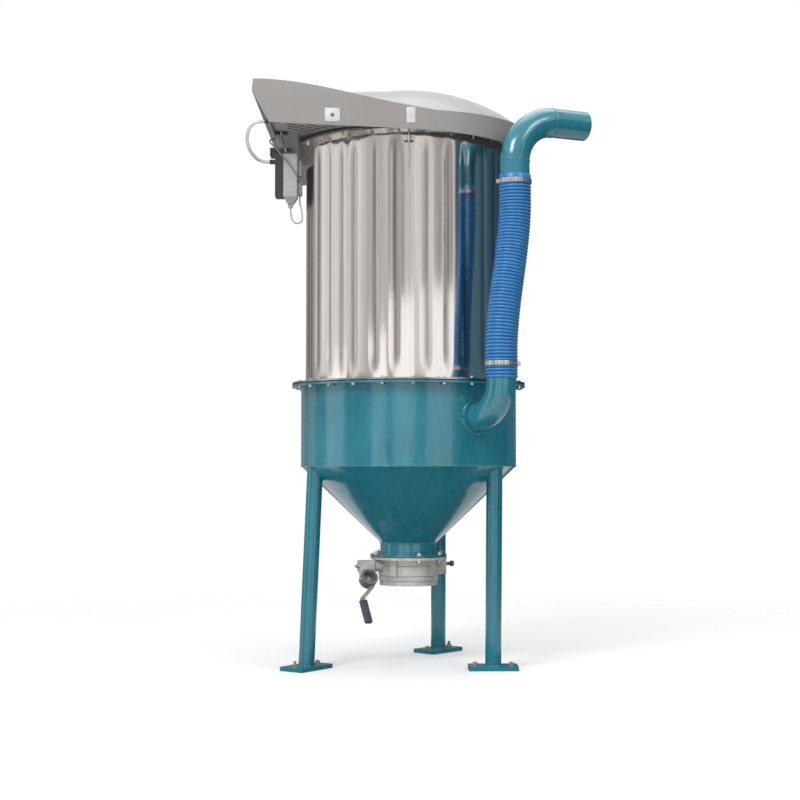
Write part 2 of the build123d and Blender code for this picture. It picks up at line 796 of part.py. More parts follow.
flange_under = valve_top - valve_flange_thickness
lip_step = lip_bottom + lip_step_share * lip_height
upper_profile = [
    (valve_bore_radius, valve_axis_height),
    (valve_body_radius - seam_groove, valve_axis_height),
    (valve_body_radius, valve_axis_height + seam_groove),
    (valve_body_radius, flange_under),
    (valve_flange_radius, flange_under),
    (valve_flange_radius, valve_top),
    (valve_bore_radius, valve_top),
]
lower_profile = [
    (valve_bore_radius, lip_bottom),
    (lip_step_radius, lip_bottom),
    (lip_step_radius, lip_step - seam_groove),
    (lip_step_radius - seam_groove, lip_step),
    (lip_radius, lip_step),
    (lip_radius, lip_top - seam_groove),
    (lip_radius - seam_groove, lip_top),
    (valve_body_radius, lip_top),
    (valve_body_radius, valve_axis_height - seam_groove),
    (valve_body_radius - seam_groove, valve_axis_height),
    (valve_bore_radius, valve_axis_height),
]
valve_half("valve_upper_body", upper_profile, valve_axis_height, flange_under)
valve_half("valve_lower_body", lower_profile, lip_top, valve_axis_height)

with BuildPart() as body_cutter:
    with BuildSketch(Plane.XY.offset(lip_bottom)):
        Circle(valve_body_radius + seat_gap)
    extrude(amount=valve_top - lip_bottom)

with BuildPart() as valve_bearing_left:
    with BuildSketch(shaft_plane(0)):
        Circle(bearing_radius)
        Circle(shaft_radius + seat_gap, mode=Mode.SUBTRACT)
    extrude(amount=bearing_reach)
    add(body_cutter.part, mode=Mode.SUBTRACT)
finish(valve_bearing_left, "valve_bearing_left")

with BuildPart() as valve_bearing_right:
    with BuildSketch(shaft_plane(-bearing_reach)):
        with Locations((0, (flange_under + lip_top) / 2 - valve_axis_height)):
            Rectangle(bearing_block_width, flange_under - lip_top)
        Circle(shaft_radius + seat_gap, mode=Mode.SUBTRACT)
    extrude(amount=bearing_reach)
    add(body_cutter.part, mode=Mode.SUBTRACT)
finish(valve_bearing_right, "valve_bearing_right")

head_start = bearing_reach + head_inset
head_end = head_start + head_length
with BuildPart() as valve_shaft:
    with BuildSketch(shaft_plane(-bearing_reach)):
        Circle(shaft_radius)
    extrude(amount=bearing_reach + head_end)
    with BuildSketch(shaft_plane(-shaft_end_reach)):
        Circle(shaft_end_radius)
    extrude(amount=shaft_end_reach - bearing_reach)
    with BuildSketch(shaft_plane(-shaft_end_reach)):
        Circle(shaft_knob_radius)
    extrude(amount=shaft_knob_length)
finish(valve_shaft, "valve_shaft")

with BuildPart() as valve_disc:
    with BuildSketch(Plane.XY.offset(valve_axis_height - disc_thickness / 2)):
        Circle(disc_radius)
    extrude(amount=disc_thickness)
    with BuildSketch(shaft_plane(-disc_radius)):
        Circle(disc_hub_radius)
    extrude(amount=disc_radius + disc_radius)
    with Locations(valve_centre):
        Sphere(disc_radius, mode=Mode.INTERSECT)
    with BuildSketch(shaft_plane(-disc_radius)):
        Circle(shaft_radius + seat_gap)
    extrude(amount=disc_radius + disc_radius, mode=Mode.SUBTRACT)
finish(valve_disc, "valve_disc")

# Hand lever: cast head on the shaft, strap, round hub, bent arm and grip
lever_face = lever_side * cos(radians(lever_tilt)) + Vector(0, 0, sin(radians(lever_tilt)))


def lever_point(reach, along):
    """Point of the lever at a reach out along the shaft and a distance down its own line."""
    return valve_centre + shaft_out * reach + lever_down * along


def hub_plane(depth):
    """Plane across the round hub, at a depth in front of its middle."""
    return Plane(origin=hub_centre + lever_face * depth, x_dir=shaft_out, z_dir=lever_face)


hub_centre = lever_point(head_start + hub_inset, hub_offset)
with BuildPart() as hub_cutter:
    with BuildSketch(hub_plane(-hub_depth / 2 - seat_gap)):
        Circle(hub_radius + seat_gap)
    extrude(amount=hub_depth + seat_gap * 2)

with BuildPart() as lever_head:
    with BuildSketch(shaft_plane(head_start)):
        Rectangle(head_width, head_height)
        Circle(shaft_radius + seat_gap, mode=Mode.SUBTRACT)
    extrude(amount=head_length)
    add(hub_cutter.part, mode=Mode.SUBTRACT)
finish(lever_head, "lever_head")

strap_x = hub_offset * sin(radians(lever_tilt))
strap_y = -hub_offset * cos(radians(lever_tilt))
with BuildPart() as lever_strap:
    with BuildSketch(shaft_plane(head_end)):
        with Locations(Location((strap_x / 2, strap_y / 2, 0), (0, 0, lever_tilt))):
            SlotCenterToCenter(hub_offset, strap_width, rotation=-90)
    extrude(amount=strap_thickness)
finish(lever_strap, "lever_strap")

with BuildPart() as lever_hub:
    with BuildSketch(hub_plane(-hub_depth / 2)):
        Circle(hub_radius)
    extrude(amount=hub_depth)
    with BuildSketch(hub_plane(hub_floor - hub_depth / 2)):
        Circle(hub_radius - hub_rim)
    extrude(amount=hub_depth, mode=Mode.SUBTRACT)
    add(lever_strap.part, mode=Mode.SUBTRACT)
finish(lever_hub, "lever_hub")

arm_start_reach = head_start + arm_inset
arm_end_reach = arm_start_reach + arm_offset
arm_points = [
    lever_point(arm_start_reach, hub_offset),
    lever_point(arm_start_reach, hub_offset + hub_radius),
    lever_point(arm_end_reach, arm_knee),
    lever_point(arm_end_reach, grip_start),
]
with BuildPart() as lever_arm:
    with BuildLine() as arm_route:
        Polyline(*arm_points)
    with BuildSketch(Plane(origin=arm_points[0], x_dir=lever_face, z_dir=lever_down)) as arm_section:
        Rectangle(arm_width, arm_thickness)
    sweep(sections=arm_section.sketch, path=arm_route.wires()[0], transition=Transition.RIGHT)
    add(hub_cutter.part, mode=Mode.SUBTRACT)
finish(lever_arm, "lever_arm")

grip_plane = Plane(origin=lever_point(arm_end_reach, grip_start), x_dir=lever_face, z_dir=lever_down)
with BuildPart() as lever_grip:
    with BuildSketch(grip_plane):
        RectangleRounded(grip_width, grip_thickness, grip_fillet)
    extrude(amount=grip_length)
    fillet(lever_grip.faces().sort_by(Axis(valve_centre, lever_down))[-1].edges(), radius=grip_fillet)
finish(lever_grip, "lever_grip")

# Cords: the clear air tube and two cables, each along a route chosen by hand from the box's top corner
box_corner = Vector(-box_left, box_middle_y, box_top)
gland_bottom = box_bottom - taper_height - gland_height
gland_mouth = Vector(gland_x, box_middle_y, gland_bottom)
connector_x = box_right + connector_width / 2
connector_front = box_middle_y - connector_depth / 2
connectors_bottom = box_top - connector_drop - connector_height * 2 - connector_gap
plug_z = connectors_bottom + connector_height - cable_diameter
plug_front = Vector(connector_x, connector_front, plug_z)
connector_end = Vector(connector_x, box_middle_y, connectors_bottom)
tube_end = Vector(-box_left - fitting_length, box_middle_y, fitting_z)
flap_exit_z = cover_seat - cable_exit_drop
flap_exit = Vector(flap_face_x(flap_exit_z, flap_front), cable_exit_y, flap_exit_z)
flap_out = Vector(-1, 0, -flap_slope).normalized()


def placed(start, offsets):
    """Points at hand-chosen offsets from a start."""
    return [start + Vector(*offset) for offset in offsets]


tube_route = [
    tube_mouth,
    *placed(tube_mouth, tube_head_offsets),
    *placed(tube_end, tube_tail_offsets),
    tube_end,
]
flap_cable_route = [
    flap_exit,
    flap_exit + flap_out * cable_lead,
    *placed(box_corner, cable_offsets),
    plug_front - Vector(0, cable_lead, 0),
    plug_front,
]
loop_cable_route = [
    gland_mouth,
    *placed(gland_mouth, loop_head_offsets),
    *placed(connector_end, loop_tail_offsets),
    connector_end - Vector(0, 0, cable_lead + cable_lead),
    connector_end,
]


def cord(name, route, diameter):
    """Solid round cord along its route, with the arcs that its runs allow."""
    radii = route_radii(route, cord_bend_share)
    print(name, "bend radii", [round(radius) for radius in radii])
    with BuildPart() as piece:
        with BuildLine() as line:
            FilletPolyline(*route, radius=radii)
        with BuildSketch(Plane(origin=route[0], z_dir=route[1] - route[0])) as section:
            Circle(diameter / 2)
        sweep(sections=section.sketch, path=line.wires()[0])
    finish(piece, name)


cord("air_tube", tube_route, tube_diameter)
cord("flap_cable", flap_cable_route, cable_diameter)
cord("loop_cable", loop_cable_route, cable_diameter)
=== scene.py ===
import math

import bmesh
import bpy
from mathutils import Matrix, Vector


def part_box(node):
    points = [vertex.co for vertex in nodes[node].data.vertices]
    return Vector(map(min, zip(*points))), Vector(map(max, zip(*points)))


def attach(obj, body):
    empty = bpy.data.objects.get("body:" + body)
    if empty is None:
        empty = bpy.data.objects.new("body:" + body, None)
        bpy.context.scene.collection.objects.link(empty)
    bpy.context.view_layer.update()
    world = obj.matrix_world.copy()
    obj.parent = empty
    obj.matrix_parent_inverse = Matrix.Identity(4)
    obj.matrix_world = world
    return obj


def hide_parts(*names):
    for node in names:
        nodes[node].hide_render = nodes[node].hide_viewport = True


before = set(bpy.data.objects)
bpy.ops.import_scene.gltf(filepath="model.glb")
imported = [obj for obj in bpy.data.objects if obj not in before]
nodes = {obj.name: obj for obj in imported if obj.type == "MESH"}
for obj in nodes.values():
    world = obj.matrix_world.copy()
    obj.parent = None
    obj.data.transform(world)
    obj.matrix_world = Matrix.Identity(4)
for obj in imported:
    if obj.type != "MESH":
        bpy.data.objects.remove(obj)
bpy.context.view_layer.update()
ROOT = "root"
LEVER = "valve_lever"

# Sizes in metres; what the frame can tell is read from it
SHELL_LOW, SHELL_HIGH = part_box("filter_shell")
SHELL_R = SHELL_HIGH[0]
SHELL_WALL = 0.003
FLANGE_LOW, FLANGE_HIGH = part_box("hopper_flange")
DRUM_LOW, DRUM_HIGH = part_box("hopper_drum")
DRUM_R = DRUM_HIGH[0]
BOTTOM_FLANGE_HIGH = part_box("shell_bottom_flange")[1]
TOP_FLANGE_LOW, TOP_FLANGE_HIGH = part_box("shell_top_flange")
NECK_FLANGE_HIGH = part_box("neck_flange")[1]
NECK_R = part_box("outlet_neck")[1][0]
COVER_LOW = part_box("weather_cover")[0]
CONE_LOW, CONE_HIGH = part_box("hopper_cone")
HOSE_LOW, HOSE_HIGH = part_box("inlet_hose")

# Name of the mesh layer that is 1 down in grooves and creases, where the shell and the hose take painted
# shade
GROOVE = "groove"


# Materials
def srgb(red, green, blue):
    """Linear colour from screen values of 0 to 255."""
    def linear(value):
        share = value / 255
        return share / 12.92 if share <= 0.04045 else ((share + 0.055) / 1.055) ** 2.4
    return (linear(red), linear(green), linear(blue), 1.0)


class Shader:
    """One node material, with short calls for the nodes that these finishes use."""

    def __init__(self, name, **sockets):
        self.material = bpy.data.materials.new(name)
        self.material.use_nodes = True
        self.tree = self.material.node_tree
        self.bsdf = self.tree.nodes["Principled BSDF"]
        for socket, value in sockets.items():
            self.bsdf.inputs[socket.replace("_", " ")].default_value = value
        self.place = self.node("ShaderNodeTexCoord").outputs["Object"]

    def node(self, kind, **values):
        """New node with values set on its sockets."""
        made = self.tree.nodes.new(kind)
        for key, value in values.items():
            made.inputs[key.replace("_", " ")].default_value = value
        return made

    def link(self, source, target):
        """Joins one node's output to another's input."""
        self.tree.links.new(source, target)

    def stretched(self, scale):
        """Object coordinates stretched by a scale along each axis."""
        mapping = self.node("ShaderNodeMapping", Scale=scale)
        self.link(self.place, mapping.inputs["Vector"])
        return mapping.outputs["Vector"]

    def noise(self, size, detail=3.0, stretch=(1, 1, 1), roughness=0.5):
        """Noise from 0 to 1 with lumps of about the given size in metres."""
        texture = self.node("ShaderNodeTexNoise", Scale=1 / size, Detail=detail, Roughness=roughness)
        self.link(self.stretched(stretch), texture.inputs["Vector"])
        return texture.outputs["Fac"]

    def ramp(self, value, low, high, low_colour, high_colour):
        """Colour that goes from one to the other as the value goes from low to high."""
        ramp = self.node("ShaderNodeValToRGB")
        ramp.color_ramp.elements[0].position = low
        ramp.color_ramp.elements[1].position = high
        ramp.color_ramp.elements[0].color = low_colour
        ramp.color_ramp.elements[1].color = high_colour
        self.link(value, ramp.inputs["Fac"])
        return ramp.outputs["Color"]

    def grey_ramp(self, value, low, high, low_level, high_level):
        """Grey level that goes from one to the other as the value goes from low to high."""
        return self.ramp(value, low, high, (low_level,) * 3 + (1,), (high_level,) * 3 + (1,))

    def mix(self, share, first, second):
        """Two colours mixed by a share."""
        mix = self.node("ShaderNodeMix")
        mix.data_type = "RGBA"
        self.link(share, mix.inputs["Factor"])
        self.link(first, mix.inputs[6])
        self.link(second, mix.inputs[7])
        return mix.outputs[2]

    def upright(self):
        """1 on faces that stand upright and 0 on those that lie flat."""
        parts = self.node("ShaderNodeSeparateXYZ")
        self.link(self.node("ShaderNodeNewGeometry").outputs["Normal"], parts.inputs["Vector"])
        level = self.node("ShaderNodeMath")
        level.operation = "ABSOLUTE"
        self.link(parts.outputs["Z"], level.inputs[0])
        wall = self.node("ShaderNodeMath")
        wall.operation = "LESS_THAN"
        wall.inputs[1].default_value = 0.5
        self.link(level.outputs["Value"], wall.inputs[0])
        return wall.outputs["Value"]

    def groove(self):
        """1 down in the mesh's grooves and 0 on its crests."""
        layer = self.node("ShaderNodeAttribute")
        layer.attribute_name = GROOVE
        return layer.outputs["Fac"]

    def surface(self, colour, roughness):
        """Links the colour and the roughness to the surface."""
        self.link(colour, self.bsdf.inputs["Base Color"])
        self.link(roughness, self.bsdf.inputs["Roughness"])

    def bump(self, heights):
        """Bump from a list of (value, height in metres)."""
        normal = None
        for value, height in heights:
            bump = self.node("ShaderNodeBump", Strength=1.0, Distance=height)
            self.link(value, bump.inputs["Height"])
            if normal:
                self.link(normal, bump.inputs["Normal"])
            normal = bump.outputs["Normal"]
        self.link(normal, self.bsdf.inputs["Normal"])


def painted(name, dark, light, rough_low, rough_high, coat):
    """Brushed-on gloss paint: patchy colour, runs and a little dust."""
    shader = Shader(name, Coat_Weight=coat, Coat_Roughness=0.08)
    patches = shader.noise(0.22, 4)
    runs = shader.noise(0.03, 3, (1, 1, 0.12))
    patchy = shader.ramp(patches, 0.3, 0.7, dark, light)
    streaky = shader.ramp(runs, 0.2, 0.8, dark, light)
    rough = shader.grey_ramp(patches, 0.3, 0.7, rough_low, rough_high)
    shader.surface(shader.mix(runs, patchy, streaky), rough)
    shader.bump([(runs, 0.0011), (shader.noise(0.05, 2), 0.0016), (shader.noise(0.006, 2), 0.00012)])
    return shader.material


def metal(name, dark, light, roughness, grain, grain_height, stretch=(1, 1, 1), metallic=1.0):
    """Metal with a tint that varies over its grain."""
    shader = Shader(name, Metallic=metallic)
    lumps = shader.noise(grain, 4, stretch)
    wide = shader.noise(grain * 14, 2)
    rough = shader.grey_ramp(lumps, 0.25, 0.75, roughness * 0.75, roughness * 1.25)
    shader.surface(shader.ramp(wide, 0.3, 0.7, dark, light), rough)
    shader.bump([(lumps, grain_height)])
    return shader.material


def plastic(name, dark, light, roughness, grain_height, coat=0.0):
    """Moulded plastic or rubber with a fine grain and handling marks."""
    shader = Shader(name, Coat_Weight=coat, Coat_Roughness=0.2)
    marks = shader.noise(0.04, 4)
    rough = shader.grey_ramp(marks, 0.3, 0.75, roughness * 0.85, roughness * 1.15)
    shader.surface(shader.ramp(marks, 0.3, 0.75, dark, light), rough)
    shader.bump([(shader.noise(0.0016, 2), grain_height)])
    return shader.material


def sprayed(name, dark, light, roughness, wall=None):
    """Even sprayed paint with orange peel and faint dust; its upright walls may take a painted shade of
    their own.
    """
    shader = Shader(name, Coat_Weight=0.2, Coat_Roughness=0.15)
    dust = shader.noise(0.3, 5, roughness=0.6)
    colour = shader.ramp(dust, 0.3, 0.7, dark, light)
    # Upright walls take the wall colours as painted shade
    if wall:
        colour = shader.mix(shader.upright(), colour, shader.ramp(dust, 0.3, 0.7, *wall))
    shader.surface(colour, shader.grey_ramp(dust, 0.3, 0.7, roughness * 0.9, roughness * 1.1))
    shader.bump([(shader.noise(0.004, 2), 0.00005)])
    return shader.material


def mirror_steel():
    """Polished sheet with upright grain, a slight waviness and painted shade along its creases."""
    shader = Shader("mirror_steel", Metallic=1.0)
    grain = shader.noise(0.008, 3, (1, 1, 0.02))
    bare_tint = shader.ramp(grain, 0.3, 0.7, srgb(208, 206, 205), srgb(222, 220, 219))
    # The darker tint down in the creases is painted shade
    crease_shade = shader.ramp(grain, 0.3, 0.7, srgb(146, 142, 141), srgb(170, 166, 164))
    rough = shader.grey_ramp(grain, 0.3, 0.7, 0.08, 0.14)
    shader.surface(shader.mix(shader.groove(), bare_tint, crease_shade), rough)
    shader.bump([(shader.noise(0.07, 2, (1, 1, 0.3)), 0.0004)])
    return shader.material


def hose_plastic():
    """Soft blue plastic that is duller down in its grooves, where painted shade darkens it."""
    shader = Shader("hose_blue", Coat_Weight=0.2, Coat_Roughness=0.25)
    groove = shader.groove()
    marks = shader.noise(0.05, 4)
    crest = shader.ramp(marks, 0.3, 0.7, srgb(22, 108, 170), srgb(34, 124, 185))
    # The darker blue down in the grooves is painted shade
    valley = shader.ramp(marks, 0.3, 0.7, srgb(12, 78, 136), srgb(20, 92, 150))
    rough = shader.grey_ramp(groove, 0.0, 1.0, 0.36, 0.6)
    shader.surface(shader.mix(groove, crest, valley), rough)
    shader.bump([(shader.noise(0.002, 2), 0.00005)])
    return shader.material


def clear_tube():
    """Milky clear tube that lets some light through."""
    shader = Shader("clear_tube", Transmission_Weight=0.45, IOR=1.45)
    haze = shader.noise(0.02, 3)
    colour = shader.ramp(haze, 0.3, 0.7, srgb(206, 210, 210), srgb(236, 238, 238))
    shader.surface(colour, shader.grey_ramp(haze, 0.3, 0.7, 0.14, 0.3))
    shader.bump([(shader.noise(0.002, 2), 0.00004)])
    return shader.material


TEAL = painted("teal_paint", srgb(28, 105, 121), srgb(42, 131, 147),
               rough_low=0.14, rough_high=0.24, coat=0.5)
# The legs take a darker copy of the same teal paint: painted shade
SHADED_LEG_TEAL = painted("leg_teal_shaded", srgb(20, 97, 112), srgb(31, 121, 137),
                   rough_low=0.16, rough_high=0.26, coat=0.35)
GREY = sprayed("cover_grey", srgb(138, 135, 133), srgb(146, 143, 141), roughness=0.36)
# The grille's upright slot walls take a near-black painted shade
SLOT_SHADED_GREY = sprayed("grille_grey_slot_shade", srgb(140, 137, 136), srgb(156, 153, 152), roughness=0.5,
                      wall=(srgb(34, 33, 34), srgb(46, 45, 45)))
MIRROR = mirror_steel()
STEEL = metal("flange_steel", srgb(150, 148, 145), srgb(185, 183, 180),
              roughness=0.25, grain=0.005, grain_height=0.00005)
ZINC = metal("zinc_steel", srgb(188, 188, 187), srgb(216, 216, 214),
             roughness=0.24, grain=0.003, grain_height=0.00005, metallic=0.9)
CAST = metal("cast_aluminium", srgb(170, 168, 164), srgb(194, 192, 188),
             roughness=0.5, grain=0.0022, grain_height=0.00018, metallic=0.35)
ARM_STEEL = metal("arm_steel", srgb(138, 136, 134), srgb(166, 164, 162),
                  roughness=0.4, grain=0.002, grain_height=0.00006, metallic=0.5)
HUB_GREY = metal("hub_grey", srgb(108, 107, 107), srgb(140, 139, 138),
                 roughness=0.45, grain=0.003, grain_height=0.0001, metallic=0.5)
WORN_STEEL = metal("worn_steel", srgb(84, 80, 76), srgb(126, 121, 114),
                   roughness=0.5, grain=0.002, grain_height=0.0001, metallic=0.5)
RUBBER = plastic("black_rubber", srgb(24, 24, 25), srgb(38, 38, 40), roughness=0.62, grain_height=0.00006)
GRIP = plastic("grip_rubber", srgb(50, 53, 61), srgb(68, 71, 80), roughness=0.55, grain_height=0.00008)
BLACK = plastic("black_plastic", srgb(28, 27, 34), srgb(46, 44, 54), roughness=0.45, grain_height=0.00004)
BOX_GREY = plastic("box_grey", srgb(156, 154, 153), srgb(168, 166, 165),
                   roughness=0.42, grain_height=0.00003)
PLUG_GREY = plastic("plug_grey", srgb(112, 108, 114), srgb(134, 130, 136),
                    roughness=0.5, grain_height=0.00003)
HOSE_BLUE = hose_plastic()
CABLE_DARK = plastic("cable_dark", srgb(98, 95, 102), srgb(122, 119, 126),
                     roughness=0.5, grain_height=0.00003)
CABLE = plastic("cable_grey", srgb(150, 149, 150), srgb(176, 175, 176), roughness=0.5, grain_height=0.00003)
PLATE = plastic("bare_plate", srgb(196, 196, 197), srgb(208, 208, 209), roughness=0.4, grain_height=0.00002)
CLEAR = clear_tube()

# Which finish each solid takes
NODE_FINISH = {
    SHADED_LEG_TEAL: ["leg_left", "leg_right", "leg_back"],
    TEAL: ["foot_left", "foot_right", "foot_back", "hopper_drum", "hopper_cone", "outlet_neck",
           "neck_flange", "hopper_flange", "inlet_collar", "inlet_elbow_lower", "inlet_elbow_upper"],
    GREY: ["weather_cover", "beak_housing", "beak_flap"],
    SLOT_SHADED_GREY: ["exhaust_grille"],
    STEEL: ["shell_bottom_flange", "shell_top_flange"],
    MIRROR: ["filter_shell"],
    ZINC: ["cover_latch", "hose_clamp_lower", "hose_clamp_upper"],
    CAST: ["valve_upper_body", "valve_lower_body", "valve_bearing_left", "valve_bearing_right",
           "valve_disc", "lever_head", "lever_strap"],
    ARM_STEEL: ["lever_arm"],
    HUB_GREY: ["lever_hub"],
    WORN_STEEL: ["valve_shaft"],
    RUBBER: ["flange_gasket", "neck_gasket", "cover_seal"],
    GRIP: ["lever_grip"],
    BLACK: ["flap_hinges", "control_box_side", "box_top_block", "air_fitting", "tube_fitting"],
    BOX_GREY: ["control_box", "cable_gland"],
    PLUG_GREY: ["box_connectors"],
    HOSE_BLUE: ["inlet_hose"],
    CLEAR: ["air_tube"],
    CABLE: ["flap_cable", "loop_cable"],
}
for finish_material, node_names in NODE_FINISH.items():
    for node_name in node_names:
        mesh = nodes[node_name].data
        mesh.materials.clear()
        mesh.materials.append(finish_material)

# What hangs under the beak, close to the shell, stays out of its reflections
UNDER_BEAK = ("beak_housing", "beak_flap", "flap_hinges", "air_fitting", "tube_fitting", "control_box",
              "control_box_side", "box_top_block", "box_connectors", "cable_gland")
for node_name in UNDER_BEAK:
    nodes[node_name].visible_glossy = False


# Making pieces
BEAD_SIDES = 8


def piece(name, mesh_data, material, body=ROOT, smooth_angle=30, reflected=True):
    """Object from a bmesh, riding on a body; the other pieces reflect it unless told not to."""
    mesh = bpy.data.meshes.new(name)
    bmesh.ops.recalc_face_normals(mesh_data, faces=mesh_data.faces)
    mesh_data.to_mesh(mesh)
    mesh_data.free()
    mesh.materials.append(material)
    mesh.shade_smooth()
    mesh.set_sharp_from_angle(angle=math.radians(smooth_angle))
    obj = bpy.data.objects.new(name, mesh)
    obj.visible_glossy = reflected
    bpy.context.scene.collection.objects.link(obj)
    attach(obj, body)
    return obj


def axis_matrix(origin, direction):
    """Turns local +Z to a direction and moves to an origin."""
    turn = Vector((0, 0, 1)).rotation_difference(Vector(direction).normalized())
    return Matrix.Translation(Vector(origin)) @ turn.to_matrix().to_4x4()


def ring_points(matrix, radius, count):
    """Points of a circle round local Z."""
    angles = [math.tau * step / count for step in range(count)]
    return [matrix @ Vector((radius * math.cos(angle), radius * math.sin(angle), 0)) for angle in angles]


def circle_points(centre, axis, radius, count):
    """Points of a circle round an axis."""
    return ring_points(axis_matrix(centre, axis), radius, count)


def lathe(mesh_data, profile, matrix, segments=24, turn=0.0):
    """Closed body of revolution round local Z; the profile runs (radius, height) from axis to axis."""
    rings = []
    for radius, height in profile:
        if radius == 0:
            rings.append([mesh_data.verts.new(matrix @ Vector((0, 0, height)))])
            continue
        ring = []
        for step in range(segments):
            angle = turn + math.tau * step / segments
            point = Vector((radius * math.cos(angle), radius * math.sin(angle), height))
            ring.append(mesh_data.verts.new(matrix @ point))
        rings.append(ring)
    for low, high in zip(rings, rings[1:]):
        for step in range(segments):
            after = (step + 1) % segments
            if len(low) == 1:
                mesh_data.faces.new((low[0], high[step], high[after]))
            elif len(high) == 1:
                mesh_data.faces.new((low[step], low[after], high[0]))
            else:
                mesh_data.faces.new((low[step], low[after], high[after], high[step]))


def loft_rings(mesh_data, rings, closed_along=False):
    """Tube through rings of points, capped unless it closes on itself; gives the loops of vertices."""
    loops = [[mesh_data.verts.new(point) for point in ring] for ring in rings]
    pairs = list(zip(loops, loops[1:]))
    if closed_along:
        pairs.append((loops[-1], loops[0]))
    count = len(loops[0])
    for low, high in pairs:
        for step in range(count):
            after = (step + 1) % count
            mesh_data.faces.new((low[step], low[after], high[after], high[step]))
    if not closed_along:
        mesh_data.faces.new(loops[0])
        mesh_data.faces.new(list(reversed(loops[-1])))
    return loops


def hex_profile(radius, height, chamfer):
    """Profile of a nut, head or stud end with a chamfered top."""
    return [(0, 0), (radius, 0), (radius, height - chamfer), (radius - chamfer, height), (0, height)]


def bolt(mesh_data, origin, direction, size, stud=0.0, turn=0.0):
    """Washer, hex head or nut, and the stud end that shows through it."""
    matrix = axis_matrix(origin, direction)
    washer = size * 0.18
    washer_radius = size * 1.15
    lathe(mesh_data, [(0, 0), (washer_radius, 0), (washer_radius, washer), (0, washer)], matrix, 20)
    head = matrix @ Matrix.Translation((0, 0, washer))
    lathe(mesh_data, hex_profile(size * 0.95, size * 0.8, size * 0.1), head, 6, turn)
    if stud:
        end = matrix @ Matrix.Translation((0, 0, washer + size * 0.8))
        lathe(mesh_data, hex_profile(size * 0.5, stud, size * 0.08), end, 12)


def around(radius, angle, height):
    """Point at a radius and an angle in degrees to the right of the front."""
    return Vector((radius * math.sin(math.radians(angle)), -radius * math.cos(math.radians(angle)), height))


def bead(mesh_data, points, radius, closed=True):
    """Weld bead along points: a round rope with small ripples."""
    count = len(points)
    rings = []
    for index, point in enumerate(points):
        before = points[index - 1] if closed or index else point
        after = points[(index + 1) % count] if closed or index < count - 1 else point
        ripple = radius * (1 + 0.18 * math.sin(2.4 * index) + 0.12 * math.sin(0.7 * index + 1))
        rings.append(circle_points(point, after - before, ripple, BEAD_SIDES))
    loft_rings(mesh_data, rings, closed_along=closed)


def block(mesh_data, centre, size, matrix=None, bevel=0.0015):
    """Block with softened edges."""
    made = bmesh.ops.create_cube(mesh_data, size=1.0)
    place = (matrix or Matrix.Identity(4)) @ Matrix.Translation(Vector(centre)) @ Matrix.Diagonal((*size, 1))
    bmesh.ops.transform(mesh_data, matrix=place, verts=made["verts"])
    edges = {edge for vert in made["verts"] for edge in vert.link_edges}
    bmesh.ops.bevel(mesh_data, geom=list(edges), offset=bevel, segments=2, affect="EDGES", profile=0.5)


def screw(mesh_data, origin, direction, radius):
    """Low round screw head."""
    rise = radius * 0.5
    profile = [(0, -rise), (radius, -rise), (radius, rise * 0.5), (radius * 0.6, rise), (0, rise)]
    lathe(mesh_data, profile, axis_matrix(origin, direction), 16)


# Mirror shell: rolled sheet with irregular shallow flutes that fade at both ends
FLUTE_DEPTH = 0.0030
FLUTE_WIDTH = 11.0
FLUTE_UNEVEN = 3.0
FLUTE_FADE = 0.09
FLUTE_LEAN = 0.22
CREST_SHARE = 0.25
CREASE_POWER = 2.2
CREASE_SHADE_POWER = 6
SHELL_STEPS = 900
SHELL_ROWS = 36
FRONT_CREASES = (-59.5, -47.4, -38.5, -31.5, -18.5, -7.7, 9.4, 20.8, 31.0, 44.0, 53.5)


def flute_creases():
    """Angles in degrees of the creases between flutes, all round: those in front, then uneven steps."""
    creases = list(FRONT_CREASES)
    around_back = 360 + FRONT_CREASES[0]
    while around_back - creases[-1] > FLUTE_WIDTH * 1.5:
        creases.append(creases[-1] + FLUTE_WIDTH + FLUTE_UNEVEN * math.sin(1.7 * len(creases)))
    return creases + [around_back]


CREASES = flute_creases()


def flute_depth(angle):
    """How far the sheet lies inside its round outline at an angle, as a share of the flute depth."""
    angle = (angle - CREASES[0]) % 360 + CREASES[0]
    for index, (start, end) in enumerate(zip(CREASES, CREASES[1:])):
        if start <= angle <= end:
            across = 2 * (angle - start) / (end - start) - 1
            valley = 0.5 - 0.5 * math.cos(math.pi * across)
            lean = FLUTE_LEAN * math.sin(2.3 * index) * across * (1 - valley)
            return CREST_SHARE + lean + (1 - CREST_SHARE) * valley ** CREASE_POWER
    return CREST_SHARE


def shell_skin():
    """Fluted sheet with a plain round inside, and a layer that marks its creases for painted shade."""
    mesh_data = bmesh.new()
    crease = mesh_data.verts.layers.float.new(GROOVE)
    low, high = SHELL_LOW[2], SHELL_HIGH[2]
    depths = [flute_depth(360 * step / SHELL_STEPS) for step in range(SHELL_STEPS)]
    rings = []
    fades = []
    for row in range(SHELL_ROWS + 1):
        share = row / SHELL_ROWS
        height = low + (high - low) * (0.5 - 0.5 * math.cos(math.pi * share))
        edge = min(height - low, high - height)
        fade = min(1.0, edge / FLUTE_FADE)
        fade = fade * fade * (3 - 2 * fade)
        fades.append(fade)
        rings.append([around(SHELL_R - FLUTE_DEPTH * fade * depths[step], 360 * step / SHELL_STEPS, height)
                      for step in range(SHELL_STEPS)])
    inner = SHELL_R - FLUTE_DEPTH - SHELL_WALL
    for height in (high, low):
        rings.append([around(inner, 360 * step / SHELL_STEPS, height) for step in range(SHELL_STEPS)])
    loops = loft_rings(mesh_data, rings, closed_along=True)
    # The crease layer sets how much painted shade each vertex takes
    for loop, fade in zip(loops, fades):
        for vert, depth in zip(loop, depths):
            vert[crease] = fade * depth ** CREASE_SHADE_POWER
    skin = piece("shell_skin", mesh_data, MIRROR, smooth_angle=60)
    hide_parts("filter_shell")


shell_skin()

